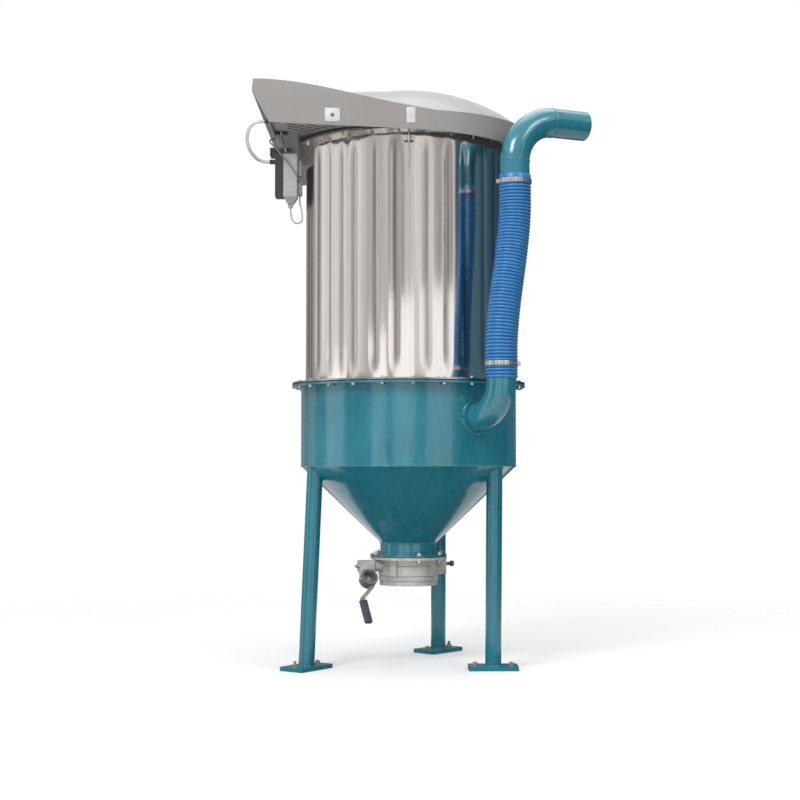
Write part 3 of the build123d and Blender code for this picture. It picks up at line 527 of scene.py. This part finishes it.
# Ribbed hose between the two elbows
HOSE_R = 0.0593
HOSE_WALL = 0.005
HOSE_FOOT = Vector((0.33323, -0.44382, HOSE_LOW[2]))
HOSE_HEAD = Vector((0.387, -0.400, HOSE_HIGH[2]))
HOSE_BEND_LOW = 1.172
HOSE_BEND_HIGH = 1.728
RIB_PITCH = 0.0122
RIB_DEPTH = 0.0046
RIB_POWER = 0.7
CUFF_HIGH = 0.034
CUFF_RINGS = ((0.15, 0.0012), (0.5, 0.0012), (0.97, 0.0012), (1.0, 0.0022))
RIB_STEPS = 8
HOSE_SIDES = 56


def hose_centre(height):
    """Middle of the hose at a height: straight at both ends, with a soft bend between."""
    share = (height - HOSE_BEND_LOW) / (HOSE_BEND_HIGH - HOSE_BEND_LOW)
    share = min(1.0, max(0.0, share))
    share = share * share * (3 - 2 * share)
    return Vector((HOSE_FOOT.x + (HOSE_HEAD.x - HOSE_FOOT.x) * share,
                   HOSE_FOOT.y + (HOSE_HEAD.y - HOSE_FOOT.y) * share, height))


def hose_ring(height, radius):
    """Ring square to the hose's own line."""
    step = 0.004
    line = (hose_centre(height + step) - hose_centre(height - step)).normalized()
    return circle_points(hose_centre(height), line, radius, HOSE_SIDES)


def ribbed_hose():
    """Hose with a rib at each pitch and a plain cuff at its head."""
    mesh_data = bmesh.new()
    groove = mesh_data.verts.layers.float.new(GROOVE)
    low, high = HOSE_LOW[2], HOSE_HIGH[2]
    rows = int((high - CUFF_HIGH - low) / RIB_PITCH) * RIB_STEPS
    rings = []
    shares = []
    for row in range(rows + 1):
        share = 1 - abs(math.sin(math.pi * row / RIB_STEPS)) ** RIB_POWER
        rings.append(hose_ring(low + row * RIB_PITCH / RIB_STEPS, HOSE_R - RIB_DEPTH * share))
        shares.append(share)
    cuff_start = low + rows * RIB_PITCH / RIB_STEPS
    for place, inset in CUFF_RINGS:
        rings.append(hose_ring(cuff_start + (high - cuff_start) * place, HOSE_R - inset))
        shares.append(0)
    for row in range(rows, -1, -RIB_STEPS):
        rings.append(hose_ring(low + (high - low) * row / rows, HOSE_R - HOSE_WALL))
        shares.append(0.5)
    # The groove layer sets how much painted shade each ring takes
    for loop, share in zip(loft_rings(mesh_data, rings, closed_along=True), shares):
        for vert in loop:
            vert[groove] = share
    hose = piece("ribbed_hose", mesh_data, HOSE_BLUE, smooth_angle=60)
    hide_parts("inlet_hose")


ribbed_hose()

# Flange bolts, with heads above and nuts below
BOLT_COUNT = 24
BOLT_PHASE = 2.0
BOLT_TWIST = 1.1
HOPPER_BOLT = 0.0074
HOPPER_BOLT_CIRCLE = (FLANGE_HIGH[0] + DRUM_R) / 2
HOPPER_ANGLES = [BOLT_PHASE + 360 * index / BOLT_COUNT for index in range(BOLT_COUNT)]
TOP_BOLT = 0.0066
TOP_STUD = 0.003
TOP_BOLT_CIRCLE = (TOP_FLANGE_HIGH[0] + SHELL_R) / 2
TOP_ANGLES = [angle + 180 / BOLT_COUNT for angle in HOPPER_ANGLES]
NECK_BOLT = 0.0085
NECK_STUD = 0.004
NECK_BOLT_CIRCLE = 0.133
NECK_ANGLES = (17, 62, 107, 152, 197, 242, 287)
BEARING_ANGLES = (107, 287)
VALVE_FLANGE_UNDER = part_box("valve_bearing_right")[1][2]


def flange_bolts(name, circle, low, high, angles, size, stud_below=0.0, stud_above=0.0, no_nut=()):
    """Bolts through a flange pair, with a head above and a nut below unless something fills that place."""
    mesh_data = bmesh.new()
    for angle in angles:
        turn = math.radians(BOLT_TWIST * angle)
        bolt(mesh_data, around(circle, angle, high), (0, 0, 1), size, stud_above, turn)
        if angle not in no_nut:
            bolt(mesh_data, around(circle, angle, low), (0, 0, -1), size, stud_below, turn)
    piece(name, mesh_data, ZINC)


flange_bolts("hopper_flange_bolts", HOPPER_BOLT_CIRCLE, FLANGE_LOW[2], BOTTOM_FLANGE_HIGH[2], HOPPER_ANGLES,
             HOPPER_BOLT)
flange_bolts("top_flange_bolts", TOP_BOLT_CIRCLE, TOP_FLANGE_LOW[2], TOP_FLANGE_HIGH[2], TOP_ANGLES,
             TOP_BOLT, stud_below=TOP_STUD)
flange_bolts("neck_flange_bolts", NECK_BOLT_CIRCLE, VALVE_FLANGE_UNDER, NECK_FLANGE_HIGH[2], NECK_ANGLES,
             NECK_BOLT, stud_below=NECK_STUD, stud_above=NECK_STUD, no_nut=BEARING_ANGLES)

# Legs: angle of the head, angle of the foot, splay of the foot and turn of its plate
LEGS = {"left": (-66, -63, 0.043, 55), "right": (56, 58, -0.015, 0), "back": (161, 161, -0.007, 48)}
LEG_R = 0.030
LEG_TOP_CIRCLE = DRUM_R - LEG_R
LEG_WELD = 0.0035
COPE_RANGE = (0.3, 0.8)
COPE_HALVINGS = 30
PLATE_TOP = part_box("foot_left")[1][2]
ANCHOR_BOLT = 0.0105
ANCHOR_STUD = 0.003
ANCHOR_SPACING = 0.136
ANCHOR_TWIST = 20
TALL_STUD = 0.012
TALL_STUDS = (("left", -1), ("back", 1))


def cone_radius(height):
    """Outer radius of the cone at a height."""
    share = (height - CONE_LOW[2]) / (CONE_HIGH[2] - CONE_LOW[2])
    return NECK_R + (DRUM_R - NECK_R) * share


def leg_line(top_angle, foot_angle, splay):
    """Foot point of a leg's axis and its direction."""
    foot = around(LEG_TOP_CIRCLE + splay, foot_angle, PLATE_TOP)
    head = around(LEG_TOP_CIRCLE, top_angle, DRUM_LOW[2])
    return foot, (head - foot).normalized()


def cope_points(foot, line, count=72):
    """Curve where a leg's outside meets the cone."""
    points = []
    for start in circle_points(foot, line, LEG_R, count):
        low, high = COPE_RANGE
        for _ in range(COPE_HALVINGS):
            middle = (low + high) / 2
            place = start + line * middle
            inside = Vector((place.x, place.y)).length < cone_radius(place.z)
            low, high = (low, middle) if inside and place.z > CONE_LOW[2] else (middle, high)
        points.append(start + line * min(low, (DRUM_LOW[2] - start.z) / line.z))
    return points


def standing_details():
    """Weld beads round both ends of the legs, and the floor anchors of the feet."""
    welds = bmesh.new()
    anchors = bmesh.new()
    for leg, (top_angle, foot_angle, splay, turn) in LEGS.items():
        foot, line = leg_line(top_angle, foot_angle, splay)
        bead(welds, circle_points(foot, (0, 0, 1), LEG_R, 64), LEG_WELD)
        bead(welds, cope_points(foot, line), LEG_WELD)
        along = Vector((math.cos(math.radians(turn)), math.sin(math.radians(turn)), 0))
        for side in (-1, 1):
            stud = TALL_STUD if (leg, side) in TALL_STUDS else ANCHOR_STUD
            place = foot + along * side * ANCHOR_SPACING / 2
            bolt(anchors, place, (0, 0, 1), ANCHOR_BOLT, stud, math.radians(turn + ANCHOR_TWIST * side))
    piece("leg_welds", welds, SHADED_LEG_TEAL, smooth_angle=70)
    piece("floor_anchors", anchors, ARM_STEEL)


standing_details()

# Hopper welds
INLET_ANGLE = 36.9
INLET_AXIS = 0.942
INLET_R = 0.054
INLET_WELD_R = INLET_R + 0.0093
INLET_WELD = 0.004
EDGE_WELD = 0.0028
EDGE_WELD_SINK = 0.0012
NECK_WELD = 0.0032
SEAM_WELD = 0.0018
SEAM_ANGLE = 118
SEAM_STEPS = 60


def inlet_weld_points(count=96):
    """Curve round the inlet's collar, on the drum."""
    out = around(1, INLET_ANGLE, 0)
    across = Vector((-out.y, out.x, 0))
    points = []
    for step in range(count):
        angle = math.tau * step / count
        side = INLET_WELD_R * math.cos(angle)
        height = INLET_AXIS + INLET_WELD_R * math.sin(angle)
        points.append(out * math.sqrt(DRUM_R ** 2 - side ** 2) + across * side + Vector((0, 0, height)))
    return points


def hopper_welds():
    """Welds of drum to cone and of the neck's two ends, the drum's upright seam and the inlet's weld."""
    welds = bmesh.new()
    bead(welds, circle_points((0, 0, DRUM_LOW[2]), (0, 0, 1), DRUM_R - EDGE_WELD_SINK, 360), EDGE_WELD)
    for height in (CONE_LOW[2], NECK_FLANGE_HIGH[2]):
        bead(welds, circle_points((0, 0, height), (0, 0, 1), NECK_R, 120), NECK_WELD)
    drum_tall = DRUM_HIGH[2] - DRUM_LOW[2]
    seam = [around(DRUM_R, SEAM_ANGLE, DRUM_LOW[2] + drum_tall * step / SEAM_STEPS)
            for step in range(SEAM_STEPS + 1)]
    bead(welds, seam, SEAM_WELD, closed=False)
    bead(welds, inlet_weld_points(), INLET_WELD)
    piece("hopper_welds", welds, TEAL, smooth_angle=70)


hopper_welds()

# Upper elbow
ELBOW_FOOT = Vector((HOSE_HEAD.x, HOSE_HEAD.y, 0))
ELBOW_TOP = 2.030
ELBOW_BEND = 0.160
ELBOW_TURN = math.radians(25)
ELBOW_ENDS = (2, 88)
ELBOW_STEPS = 40
ELBOW_SEAM_R = INLET_R - 0.0006
ELBOW_END_WELD = 0.0024
ELBOW_SIDE_WELD = 0.0022


def elbow_seams():
    """Seams round both ends of the bend and along its front."""
    seams = bmesh.new()
    out = Vector((math.cos(ELBOW_TURN), math.sin(ELBOW_TURN), 0))
    centre = ELBOW_FOOT + out * ELBOW_BEND + Vector((0, 0, ELBOW_TOP - ELBOW_BEND))

    def on_bend(degrees):
        """Middle of the pipe and its direction, at an angle round the bend."""
        sweep = math.radians(degrees)
        radial = out * -math.cos(sweep) + Vector((0, 0, math.sin(sweep)))
        along = out * math.sin(sweep) + Vector((0, 0, math.cos(sweep)))
        return centre + radial * ELBOW_BEND, along

    for degrees in ELBOW_ENDS:
        bead(seams, circle_points(*on_bend(degrees), ELBOW_SEAM_R, 110), ELBOW_END_WELD)
    front = out.cross(Vector((0, 0, 1))) * ELBOW_SEAM_R
    start, end = ELBOW_ENDS
    side = [on_bend(start + (end - start) * step / ELBOW_STEPS)[0] + front
            for step in range(ELBOW_STEPS + 1)]
    bead(seams, side, ELBOW_SIDE_WELD, closed=False)
    piece("elbow_seams", seams, TEAL, smooth_angle=70)


elbow_seams()

# Bare plate and bare sticker on the cover's skirt
SKIRT_Y = COVER_LOW[1]
PLATES_HEIGHT = 2.032
PLATE_X = -0.278
PLATE_Y = SKIRT_Y - 0.0008
PLATE_SIZE = (0.055, 0.003, 0.050)
PLATE_FACE = PLATE_Y - PLATE_SIZE[1] / 2
PLATE_SCREW_R = 0.0028
PLATE_SCREW_X = 0.022
PLATE_SCREW_Z = 0.019
LOCK_R = 0.0066
STICKER_X = 0.007
STICKER_Y = SKIRT_Y - 0.0004
STICKER_SIZE = (0.032, 0.0016, 0.057)


def skirt_plates():
    """Plate with a screw at each corner and a lock in its middle, and a thin sticker beside it."""
    plates = bmesh.new()
    screws = bmesh.new()
    lock = bmesh.new()
    block(plates, (PLATE_X, PLATE_Y, PLATES_HEIGHT), PLATE_SIZE, bevel=0.0008)
    block(plates, (STICKER_X, STICKER_Y, PLATES_HEIGHT), STICKER_SIZE, bevel=0.0004)
    for x in (PLATE_X - PLATE_SCREW_X, PLATE_X + PLATE_SCREW_X):
        for z in (PLATES_HEIGHT - PLATE_SCREW_Z, PLATES_HEIGHT + PLATE_SCREW_Z):
            screw(screws, (x, PLATE_FACE, z), (0, -1, 0), PLATE_SCREW_R)
    screw(lock, (PLATE_X, PLATE_FACE, PLATES_HEIGHT), (0, -1, 0), LOCK_R)
    piece("plate_lock", lock, WORN_STEEL)
    piece("skirt_plates", plates, PLATE)
    piece("plate_screws", screws, ZINC)


skirt_plates()

# Band clamps: middle of the hose in each, and the angle of its worm screw from the right
CLAMPS = {"hose_clamp_lower": (HOSE_FOOT, 0), "hose_clamp_upper": (HOSE_HEAD, 180)}
WORM_PROFILE = [(0, 0), (0.0048, 0), (0.0048, 0.006), (0.0034, 0.0075), (0.0034, 0.046), (0, 0.046)]
WORM_INSET = 0.007
WORM_START = 0.022
SLOT_COUNT = 32
SLOT_FREE = 40
SLOT_SIZE = (0.0034, 0.0085, 0.0004)
SLOT_SINK = 0.0001
SLOT_LEAN = 0.2


def clamp_screws():
    """Worm screws of the two band clamps."""
    screws = bmesh.new()
    for node, (_, screw_angle) in CLAMPS.items():
        low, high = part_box(node)
        x = high[0] - WORM_INSET if screw_angle == 0 else low[0] + WORM_INSET
        start = (x, (low[1] + high[1]) / 2 - WORM_START, (low[2] + high[2]) / 2)
        lathe(screws, WORM_PROFILE, axis_matrix(start, (0, 1, 0)), 6)
    piece("clamp_screws", screws, ZINC)


def clamp_slots():
    """Slots that the worm screws bite into, all round the bands except under the screws."""
    slots = bmesh.new()
    for node, (centre, screw_angle) in CLAMPS.items():
        low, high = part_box(node)
        radius = (high[1] - low[1]) / 2
        middle = Vector((centre.x, (low[1] + high[1]) / 2, (low[2] + high[2]) / 2))
        for step in range(SLOT_COUNT):
            degrees = 360 * (step + 0.5) / SLOT_COUNT
            if abs((degrees - screw_angle + 180) % 360 - 180) < SLOT_FREE:
                continue
            angle = math.radians(degrees)
            out = Vector((math.cos(angle), math.sin(angle), 0))
            tangent = Vector((-math.sin(angle), math.cos(angle), 0))
            up = (Vector((0, 0, 1)) + tangent * SLOT_LEAN).normalized()
            turn = Matrix((tangent, up, out)).transposed().to_4x4()
            matrix = Matrix.Translation(middle + out * (radius - SLOT_SINK)) @ turn
            block(slots, (0, 0, 0), SLOT_SIZE, matrix, bevel=0.0001)
    piece("clamp_slots", slots, WORN_STEEL)


clamp_screws()
clamp_slots()

# Dark sheet over the grille: painted shade behind its slots
SCREEN_HALF = 0.43
SCREEN_LEFT = -0.488
SCREEN_R = 0.452
SCREEN_STEPS = 24
SCREEN_UNDER = 0.004
SCREEN_TOP = 0.005
GRILLE_SLOPE = 0.0465
GRILLE_AT_AXIS = 1.9944


def grille_shade_sheet():
    """Thin dark sheet that lies on the grille, between the shell and the end of the beak: painted shade seen
    through the slots.
    """
    rings = []
    for step in range(SCREEN_STEPS + 1):
        y = SCREEN_HALF * (2 * step / SCREEN_STEPS - 1)
        right = -math.sqrt(SCREEN_R ** 2 - y ** 2)
        corners = ((SCREEN_LEFT, SCREEN_UNDER), (right, SCREEN_UNDER),
                   (right, SCREEN_TOP), (SCREEN_LEFT, SCREEN_TOP))
        rings.append([Vector((x, y, GRILLE_AT_AXIS - GRILLE_SLOPE * x + lift)) for x, lift in corners])
    screen = bmesh.new()
    loft_rings(screen, rings)
    piece("grille_shade_sheet", screen, RUBBER)


grille_shade_sheet()

# Hinges of the flap, and the connectors at the side of the box
HINGE_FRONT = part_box("flap_hinges")[0][1]
HINGE_PLACES = ((-0.478, 2.007), (-0.4616, 1.9427))
HINGE_SCREW_R = 0.0032
HINGE_SCREW_X = 0.0155
FLAP_SEAM = Vector((-0.2549, 0, 1)).normalized()
KNUCKLE_R = 0.0032
KNUCKLE_LONG = 0.016
CONNECTOR_BOTTOMS = (1.766, 1.836)
CONNECTOR_TALL = 0.056
BAND_SHARES = (0.22, 0.48, 0.74)
BAND_TALL = 0.006
BAND_PROUD = 0.0012


def box_details():
    """Knuckles and screws of the hinges, and the grip bands of the connectors."""
    knuckles = bmesh.new()
    screws = bmesh.new()
    knuckle = [(0, 0), (KNUCKLE_R, 0), (KNUCKLE_R, KNUCKLE_LONG), (0, KNUCKLE_LONG)]
    for x, z in HINGE_PLACES:
        foot = Vector((x, HINGE_FRONT, z)) - FLAP_SEAM * KNUCKLE_LONG / 2
        lathe(knuckles, knuckle, axis_matrix(foot, FLAP_SEAM), 16)
        for side in (-1, 1):
            screw(screws, (x + side * HINGE_SCREW_X, HINGE_FRONT, z), (0, -1, 0), HINGE_SCREW_R)
    piece("hinge_knuckles", knuckles, ZINC, reflected=False)
    piece("hinge_screws", screws, WORN_STEEL, reflected=False)
    bands = bmesh.new()
    low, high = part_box("box_connectors")
    size = (high[0] - low[0] + BAND_PROUD, high[1] - low[1] + BAND_PROUD, BAND_TALL)
    for bottom in CONNECTOR_BOTTOMS:
        for share in BAND_SHARES:
            centre = ((low[0] + high[0]) / 2, (low[1] + high[1]) / 2, bottom + CONNECTOR_TALL * share)
            block(bands, centre, size, bevel=0.0006)
    piece("connector_bands", bands, PLUG_GREY, reflected=False)


box_details()

# Hand lever: its own directions, and places measured along them from the valve's middle
SHAFT_TURN = math.radians(25)
LEVER_TILT = math.radians(35)
VALVE_CENTRE = Vector((0, 0, 0.378))
SHAFT_OUT = Vector((-math.cos(SHAFT_TURN), -math.sin(SHAFT_TURN), 0))
LEVER_SIDE = Vector((math.sin(SHAFT_TURN), -math.cos(SHAFT_TURN), 0))
LEVER_DOWN = LEVER_SIDE * math.sin(LEVER_TILT) - Vector((0, 0, math.cos(LEVER_TILT)))
LEVER_FACE = LEVER_SIDE * math.cos(LEVER_TILT) + Vector((0, 0, math.sin(LEVER_TILT)))
STRAP_REACH = 0.212
HUB_REACH = 0.184
HUB_DOWN = 0.058
HUB_FLOOR = 0.009


def lever_nuts():
    """Two nuts on the strap and one down in the round hub."""
    nuts = bmesh.new()
    strap_end = VALVE_CENTRE + SHAFT_OUT * STRAP_REACH
    hub = VALVE_CENTRE + SHAFT_OUT * HUB_REACH + LEVER_DOWN * HUB_DOWN
    bolt(nuts, strap_end, SHAFT_OUT, size=0.0088, stud=0.004)
    bolt(nuts, strap_end + LEVER_DOWN * HUB_DOWN, SHAFT_OUT, size=0.0078, stud=0.003)
    bolt(nuts, hub - LEVER_FACE * HUB_FLOOR, LEVER_FACE, size=0.012, stud=0.005)
    piece("lever_nuts", nuts, ZINC, body=LEVER)


lever_nuts()

# Cords: the same routes as the solids
TUBE_D = 0.012
CABLE_D = 0.006
TUBE_ROUTE = [
    (-0.5263, -0.430, 2.014), (-0.556, -0.430, 2.014), (-0.582, -0.420, 1.996), (-0.595, -0.400, 1.962),
    (-0.590, -0.365, 1.928), (-0.572, -0.325, 1.903), (-0.548, -0.295, 1.892), (-0.518, -0.295, 1.892),
]
LOOP_ROUTE = [
    (-0.440, -0.295, 1.720), (-0.440, -0.295, 1.704), (-0.438, -0.297, 1.688), (-0.433, -0.299, 1.673),
    (-0.4225, -0.300, 1.661), (-0.4065, -0.300, 1.661), (-0.3955, -0.299, 1.672), (-0.3965, -0.298, 1.692),
    (-0.4005, -0.296, 1.716), (-0.4065, -0.295, 1.738), (-0.4065, -0.295, 1.766),
]
FLAP_ROUTE = [
    (-0.4997, -0.245, 1.993), (-0.5132, -0.245, 1.9895), (-0.524, -0.285, 1.972), (-0.494, -0.323, 1.938),
    (-0.470, -0.342, 1.908), (-0.443, -0.342, 1.878), (-0.418, -0.341, 1.838), (-0.4065, -0.331, 1.816),
    (-0.4065, -0.317, 1.816),
]


def cord(name, route, diameter, node, material):
    """Smooth round cord on its route, standing for its solid and kept out of reflections."""
    curve = bpy.data.curves.new(name, "CURVE")
    curve.dimensions = "3D"
    curve.bevel_depth = diameter / 2
    curve.bevel_resolution = 5
    curve.use_fill_caps = True
    curve.resolution_u = 10
    spline = curve.splines.new("NURBS")
    spline.points.add(len(route) - 1)
    for point, place in zip(spline.points, route):
        point.co = (*place, 1)
    spline.order_u = 3
    spline.use_endpoint_u = True
    curve.materials.append(material)
    obj = bpy.data.objects.new(name, curve)
    obj.visible_glossy = False
    bpy.context.scene.collection.objects.link(obj)
    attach(obj, ROOT)
    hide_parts(node)


cord("clear_air_tube", TUBE_ROUTE, TUBE_D, "air_tube", CLEAR)
cord("thin_flap_cable", FLAP_ROUTE, CABLE_D, "flap_cable", CABLE_DARK)
cord("box_loop_cable", LOOP_ROUTE, CABLE_D, "loop_cable", CABLE)

# Floor, surround, light and camera
CAMERA_DISTANCE = 6.0
CAMERA_HEIGHT = 0.76
CAMERA_SIDE = -0.033
CAMERA_PITCH = 2.45
CAMERA_LENS = 69.4
CAMERA_SENSOR = 36
FLOOR_RADIUS = 4.0
FLOOR_SOLID = 0.9
FLOOR_GONE = 3.6
FLOOR_COLOUR = (0.93, 0.93, 0.93, 1)
FLOOR_BOUNCE = (0.48, 0.48, 0.48, 1)
SURROUND_LOW = (0.24, 0.25, 0.26, 1)
SURROUND_HIGH = (0.80, 0.80, 0.80, 1)
CARD_R = 0.76
CARD_LIFT = 0.001
CARD_SIDES = 48
CARD_COLOUR = srgb(70, 74, 76)
WALL_LOW = -0.3
WALL_STEPS = 30
BRIGHT_WALLS = ((-92, -68, 1.4), (-37, -22, 1.5), (-15, 6, 1.7), (17, 44, 1.75))
BRIGHT_WALL_R = 3.3
BRIGHT_WALL_STRENGTH = 1.4


def stage_material(name):
    """New material with an empty node tree, and the socket that its surface goes to."""
    material = bpy.data.materials.new(name)
    material.use_nodes = True
    tree = material.node_tree
    tree.nodes.clear()
    return material, tree, tree.nodes.new("ShaderNodeOutputMaterial").inputs["Surface"]


def studio_floor():
    """Pale round floor that fades into the white background, darker in the light that it throws up."""
    mesh_data = bmesh.new()
    bmesh.ops.create_circle(mesh_data, cap_ends=True, segments=96, radius=FLOOR_RADIUS)
    mesh = bpy.data.meshes.new("floor")
    mesh_data.to_mesh(mesh)
    mesh_data.free()
    material, tree, surface = stage_material("floor_white")
    place = tree.nodes.new("ShaderNodeTexCoord")
    length = tree.nodes.new("ShaderNodeVectorMath")
    length.operation = "LENGTH"
    fade = tree.nodes.new("ShaderNodeMapRange")
    fade.interpolation_type = "SMOOTHSTEP"
    fade.inputs["From Min"].default_value = FLOOR_SOLID
    fade.inputs["From Max"].default_value = FLOOR_GONE
    white = tree.nodes.new("ShaderNodeBsdfDiffuse")
    white.inputs["Color"].default_value = FLOOR_COLOUR
    bounce = tree.nodes.new("ShaderNodeBsdfDiffuse")
    bounce.inputs["Color"].default_value = FLOOR_BOUNCE
    rays = tree.nodes.new("ShaderNodeLightPath")
    either = tree.nodes.new("ShaderNodeMixShader")
    clear = tree.nodes.new("ShaderNodeBsdfTransparent")
    mix = tree.nodes.new("ShaderNodeMixShader")
    tree.links.new(place.outputs["Object"], length.inputs[0])
    tree.links.new(length.outputs["Value"], fade.inputs["Value"])
    tree.links.new(fade.outputs["Result"], mix.inputs["Fac"])
    tree.links.new(rays.outputs["Is Diffuse Ray"], either.inputs["Fac"])
    tree.links.new(white.outputs["BSDF"], either.inputs[1])
    tree.links.new(bounce.outputs["BSDF"], either.inputs[2])
    tree.links.new(either.outputs["Shader"], mix.inputs[1])
    tree.links.new(clear.outputs["BSDF"], mix.inputs[2])
    tree.links.new(mix.outputs["Shader"], surface)
    mesh.materials.append(material)
    floor = bpy.data.objects.new("floor", mesh)
    bpy.context.scene.collection.objects.link(floor)


def studio_world():
    """White to the camera and in metal, and otherwise a soft surround that is brighter above."""
    world = bpy.data.worlds.new("studio")
    bpy.context.scene.world = world
    world.use_nodes = True
    tree = world.node_tree
    soft = tree.nodes["Background"]
    place = tree.nodes.new("ShaderNodeTexCoord")
    split = tree.nodes.new("ShaderNodeSeparateXYZ")
    ramp = tree.nodes.new("ShaderNodeValToRGB")
    ramp.color_ramp.elements[0].position = 0.3
    ramp.color_ramp.elements[1].position = 0.8
    ramp.color_ramp.elements[0].color = SURROUND_LOW
    ramp.color_ramp.elements[1].color = SURROUND_HIGH
    shift = tree.nodes.new("ShaderNodeMapRange")
    shift.inputs["From Min"].default_value = -1
    rays = tree.nodes.new("ShaderNodeLightPath")
    seen = tree.nodes.new("ShaderNodeMath")
    seen.operation = "MAXIMUM"
    more = tree.nodes.new("ShaderNodeMath")
    more.operation = "MAXIMUM"
    white = tree.nodes.new("ShaderNodeBackground")
    white.inputs["Color"].default_value = (1, 1, 1, 1)
    mix = tree.nodes.new("ShaderNodeMixShader")
    tree.links.new(place.outputs["Generated"], split.inputs["Vector"])
    tree.links.new(split.outputs["Z"], shift.inputs["Value"])
    tree.links.new(shift.outputs["Result"], ramp.inputs["Fac"])
    tree.links.new(ramp.outputs["Color"], soft.inputs["Color"])
    tree.links.new(rays.outputs["Is Camera Ray"], seen.inputs[0])
    tree.links.new(rays.outputs["Is Glossy Ray"], seen.inputs[1])
    tree.links.new(seen.outputs["Value"], more.inputs[0])
    tree.links.new(rays.outputs["Is Transmission Ray"], more.inputs[1])
    tree.links.new(more.outputs["Value"], mix.inputs["Fac"])
    tree.links.new(soft.outputs["Background"], mix.inputs[1])
    tree.links.new(white.outputs["Background"], mix.inputs[2])
    tree.links.new(mix.outputs["Shader"], tree.nodes["World Output"].inputs["Surface"])


def reflection_only(obj):
    """Shows a stage piece in shiny surfaces alone."""
    bpy.context.scene.collection.objects.link(obj)
    obj.visible_camera = False
    obj.visible_diffuse = False
    obj.visible_shadow = False
    obj.visible_transmission = False


def floor_card():
    """Grey card under the object that keeps the floor's glare off the cone."""
    mesh = bpy.data.meshes.new("floor_card")
    edge = [around(CARD_R, 360 * step / CARD_SIDES, CARD_LIFT) for step in range(CARD_SIDES)]
    mesh.from_pydata(edge, [], [list(range(CARD_SIDES))])
    material, tree, surface = stage_material("floor_card")
    glow = tree.nodes.new("ShaderNodeEmission")
    glow.inputs["Color"].default_value = CARD_COLOUR
    tree.links.new(glow.outputs["Emission"], surface)
    mesh.materials.append(material)
    reflection_only(bpy.data.objects.new("floor_card", mesh))


def studio_wall(name, radius, high, start, end, bands, dark, light, strength=1.0, low=WALL_LOW):
    """Round wall of soft upright bands, seen only in shiny surfaces; angles are to the right of front."""
    edges = [around(radius, start + (end - start) * step / WALL_STEPS, height)
             for step in range(WALL_STEPS + 1) for height in (low, high)]
    mesh = bpy.data.meshes.new(name)
    mesh.from_pydata(edges, [], [(2 * k, 2 * k + 2, 2 * k + 3, 2 * k + 1) for k in range(WALL_STEPS)])
    material, tree, surface = stage_material(name)
    place = tree.nodes.new("ShaderNodeTexCoord")
    turn = tree.nodes.new("ShaderNodeTexGradient")
    turn.gradient_type = "RADIAL"
    noise = tree.nodes.new("ShaderNodeTexNoise")
    noise.noise_dimensions = "1D"
    noise.inputs["Scale"].default_value = bands
    noise.inputs["Detail"].default_value = 1.0
    ramp = tree.nodes.new("ShaderNodeValToRGB")
    ramp.color_ramp.elements[0].position = 0.32
    ramp.color_ramp.elements[1].position = 0.66
    ramp.color_ramp.elements[0].color = dark
    ramp.color_ramp.elements[1].color = light
    glow = tree.nodes.new("ShaderNodeEmission")
    glow.inputs["Strength"].default_value = strength
    tree.links.new(place.outputs["Object"], turn.inputs["Vector"])
    tree.links.new(turn.outputs["Fac"], noise.inputs["W"])
    tree.links.new(noise.outputs["Fac"], ramp.inputs["Fac"])
    tree.links.new(ramp.outputs["Color"], glow.inputs["Color"])
    tree.links.new(glow.outputs["Emission"], surface)
    mesh.materials.append(material)
    reflection_only(bpy.data.objects.new(name, mesh))


def area_light(name, place, target, width, height, power, shines=True):
    """Soft box that looks at a target, and shows as a highlight unless told not to."""
    light = bpy.data.lights.new(name, "AREA")
    light.shape = "RECTANGLE"
    light.size = width
    light.size_y = height
    light.energy = power
    obj = bpy.data.objects.new(name, light)
    obj.location = place
    obj.rotation_euler = (Vector(target) - Vector(place)).to_track_quat("-Z", "Y").to_euler()
    obj.visible_glossy = shines
    bpy.context.scene.collection.objects.link(obj)


def camera():
    """Low camera in front, tipped up a little."""
    data = bpy.data.cameras.new("photo_camera")
    data.lens = CAMERA_LENS
    data.sensor_width = CAMERA_SENSOR
    obj = bpy.data.objects.new("photo_camera", data)
    obj.location = (CAMERA_SIDE, -CAMERA_DISTANCE, CAMERA_HEIGHT)
    obj.rotation_euler = (math.radians(90 + CAMERA_PITCH), 0, 0)
    bpy.context.scene.collection.objects.link(obj)
    bpy.context.scene.camera = obj


studio_floor()
studio_world()
studio_wall("hall_wall", 3.4, 3.0, -190, 48, 16, srgb(176, 171, 168), srgb(254, 250, 247))
studio_wall("shade_wall", 3.3, 3.0, -192, -128, 8, srgb(84, 80, 84), srgb(160, 155, 152))
studio_wall("gap_wall", 3.35, 1.3, -112, 48, 6, srgb(116, 112, 110), srgb(156, 151, 148))
studio_wall("teal_wall", 3.2, 3.0, 48, 170, 10, srgb(44, 72, 90), srgb(84, 116, 132))
studio_wall("dark_flag", 3.0, 3.05, -178, -124, 6, srgb(46, 43, 50), srgb(66, 62, 70), low=2.24)
for index, (start, end, high) in enumerate(BRIGHT_WALLS):
    studio_wall(f"bright_wall_{index}", BRIGHT_WALL_R, high, start, end, 8, srgb(240, 237, 234),
                srgb(255, 252, 250), BRIGHT_WALL_STRENGTH)
floor_card()
area_light("key", (-2.6, -4.4, 5.2), (0, 0, 1.1), width=2.4, height=2.0, power=195)
area_light("low", (-1.6, -3.4, 0.3), (-0.3, 0, 2.0), width=2.6, height=0.8, power=32, shines=False)
area_light("fill", (3.4, -3.8, 4.8), (0, 0, 1.2), width=1.8, height=1.8, power=60)
area_light("top", (0.4, 0.6, 5.4), (0, 0, 1.5), width=3.2, height=3.2, power=58)
camera()
bpy.context.scene.view_settings.view_transform = "Standard"
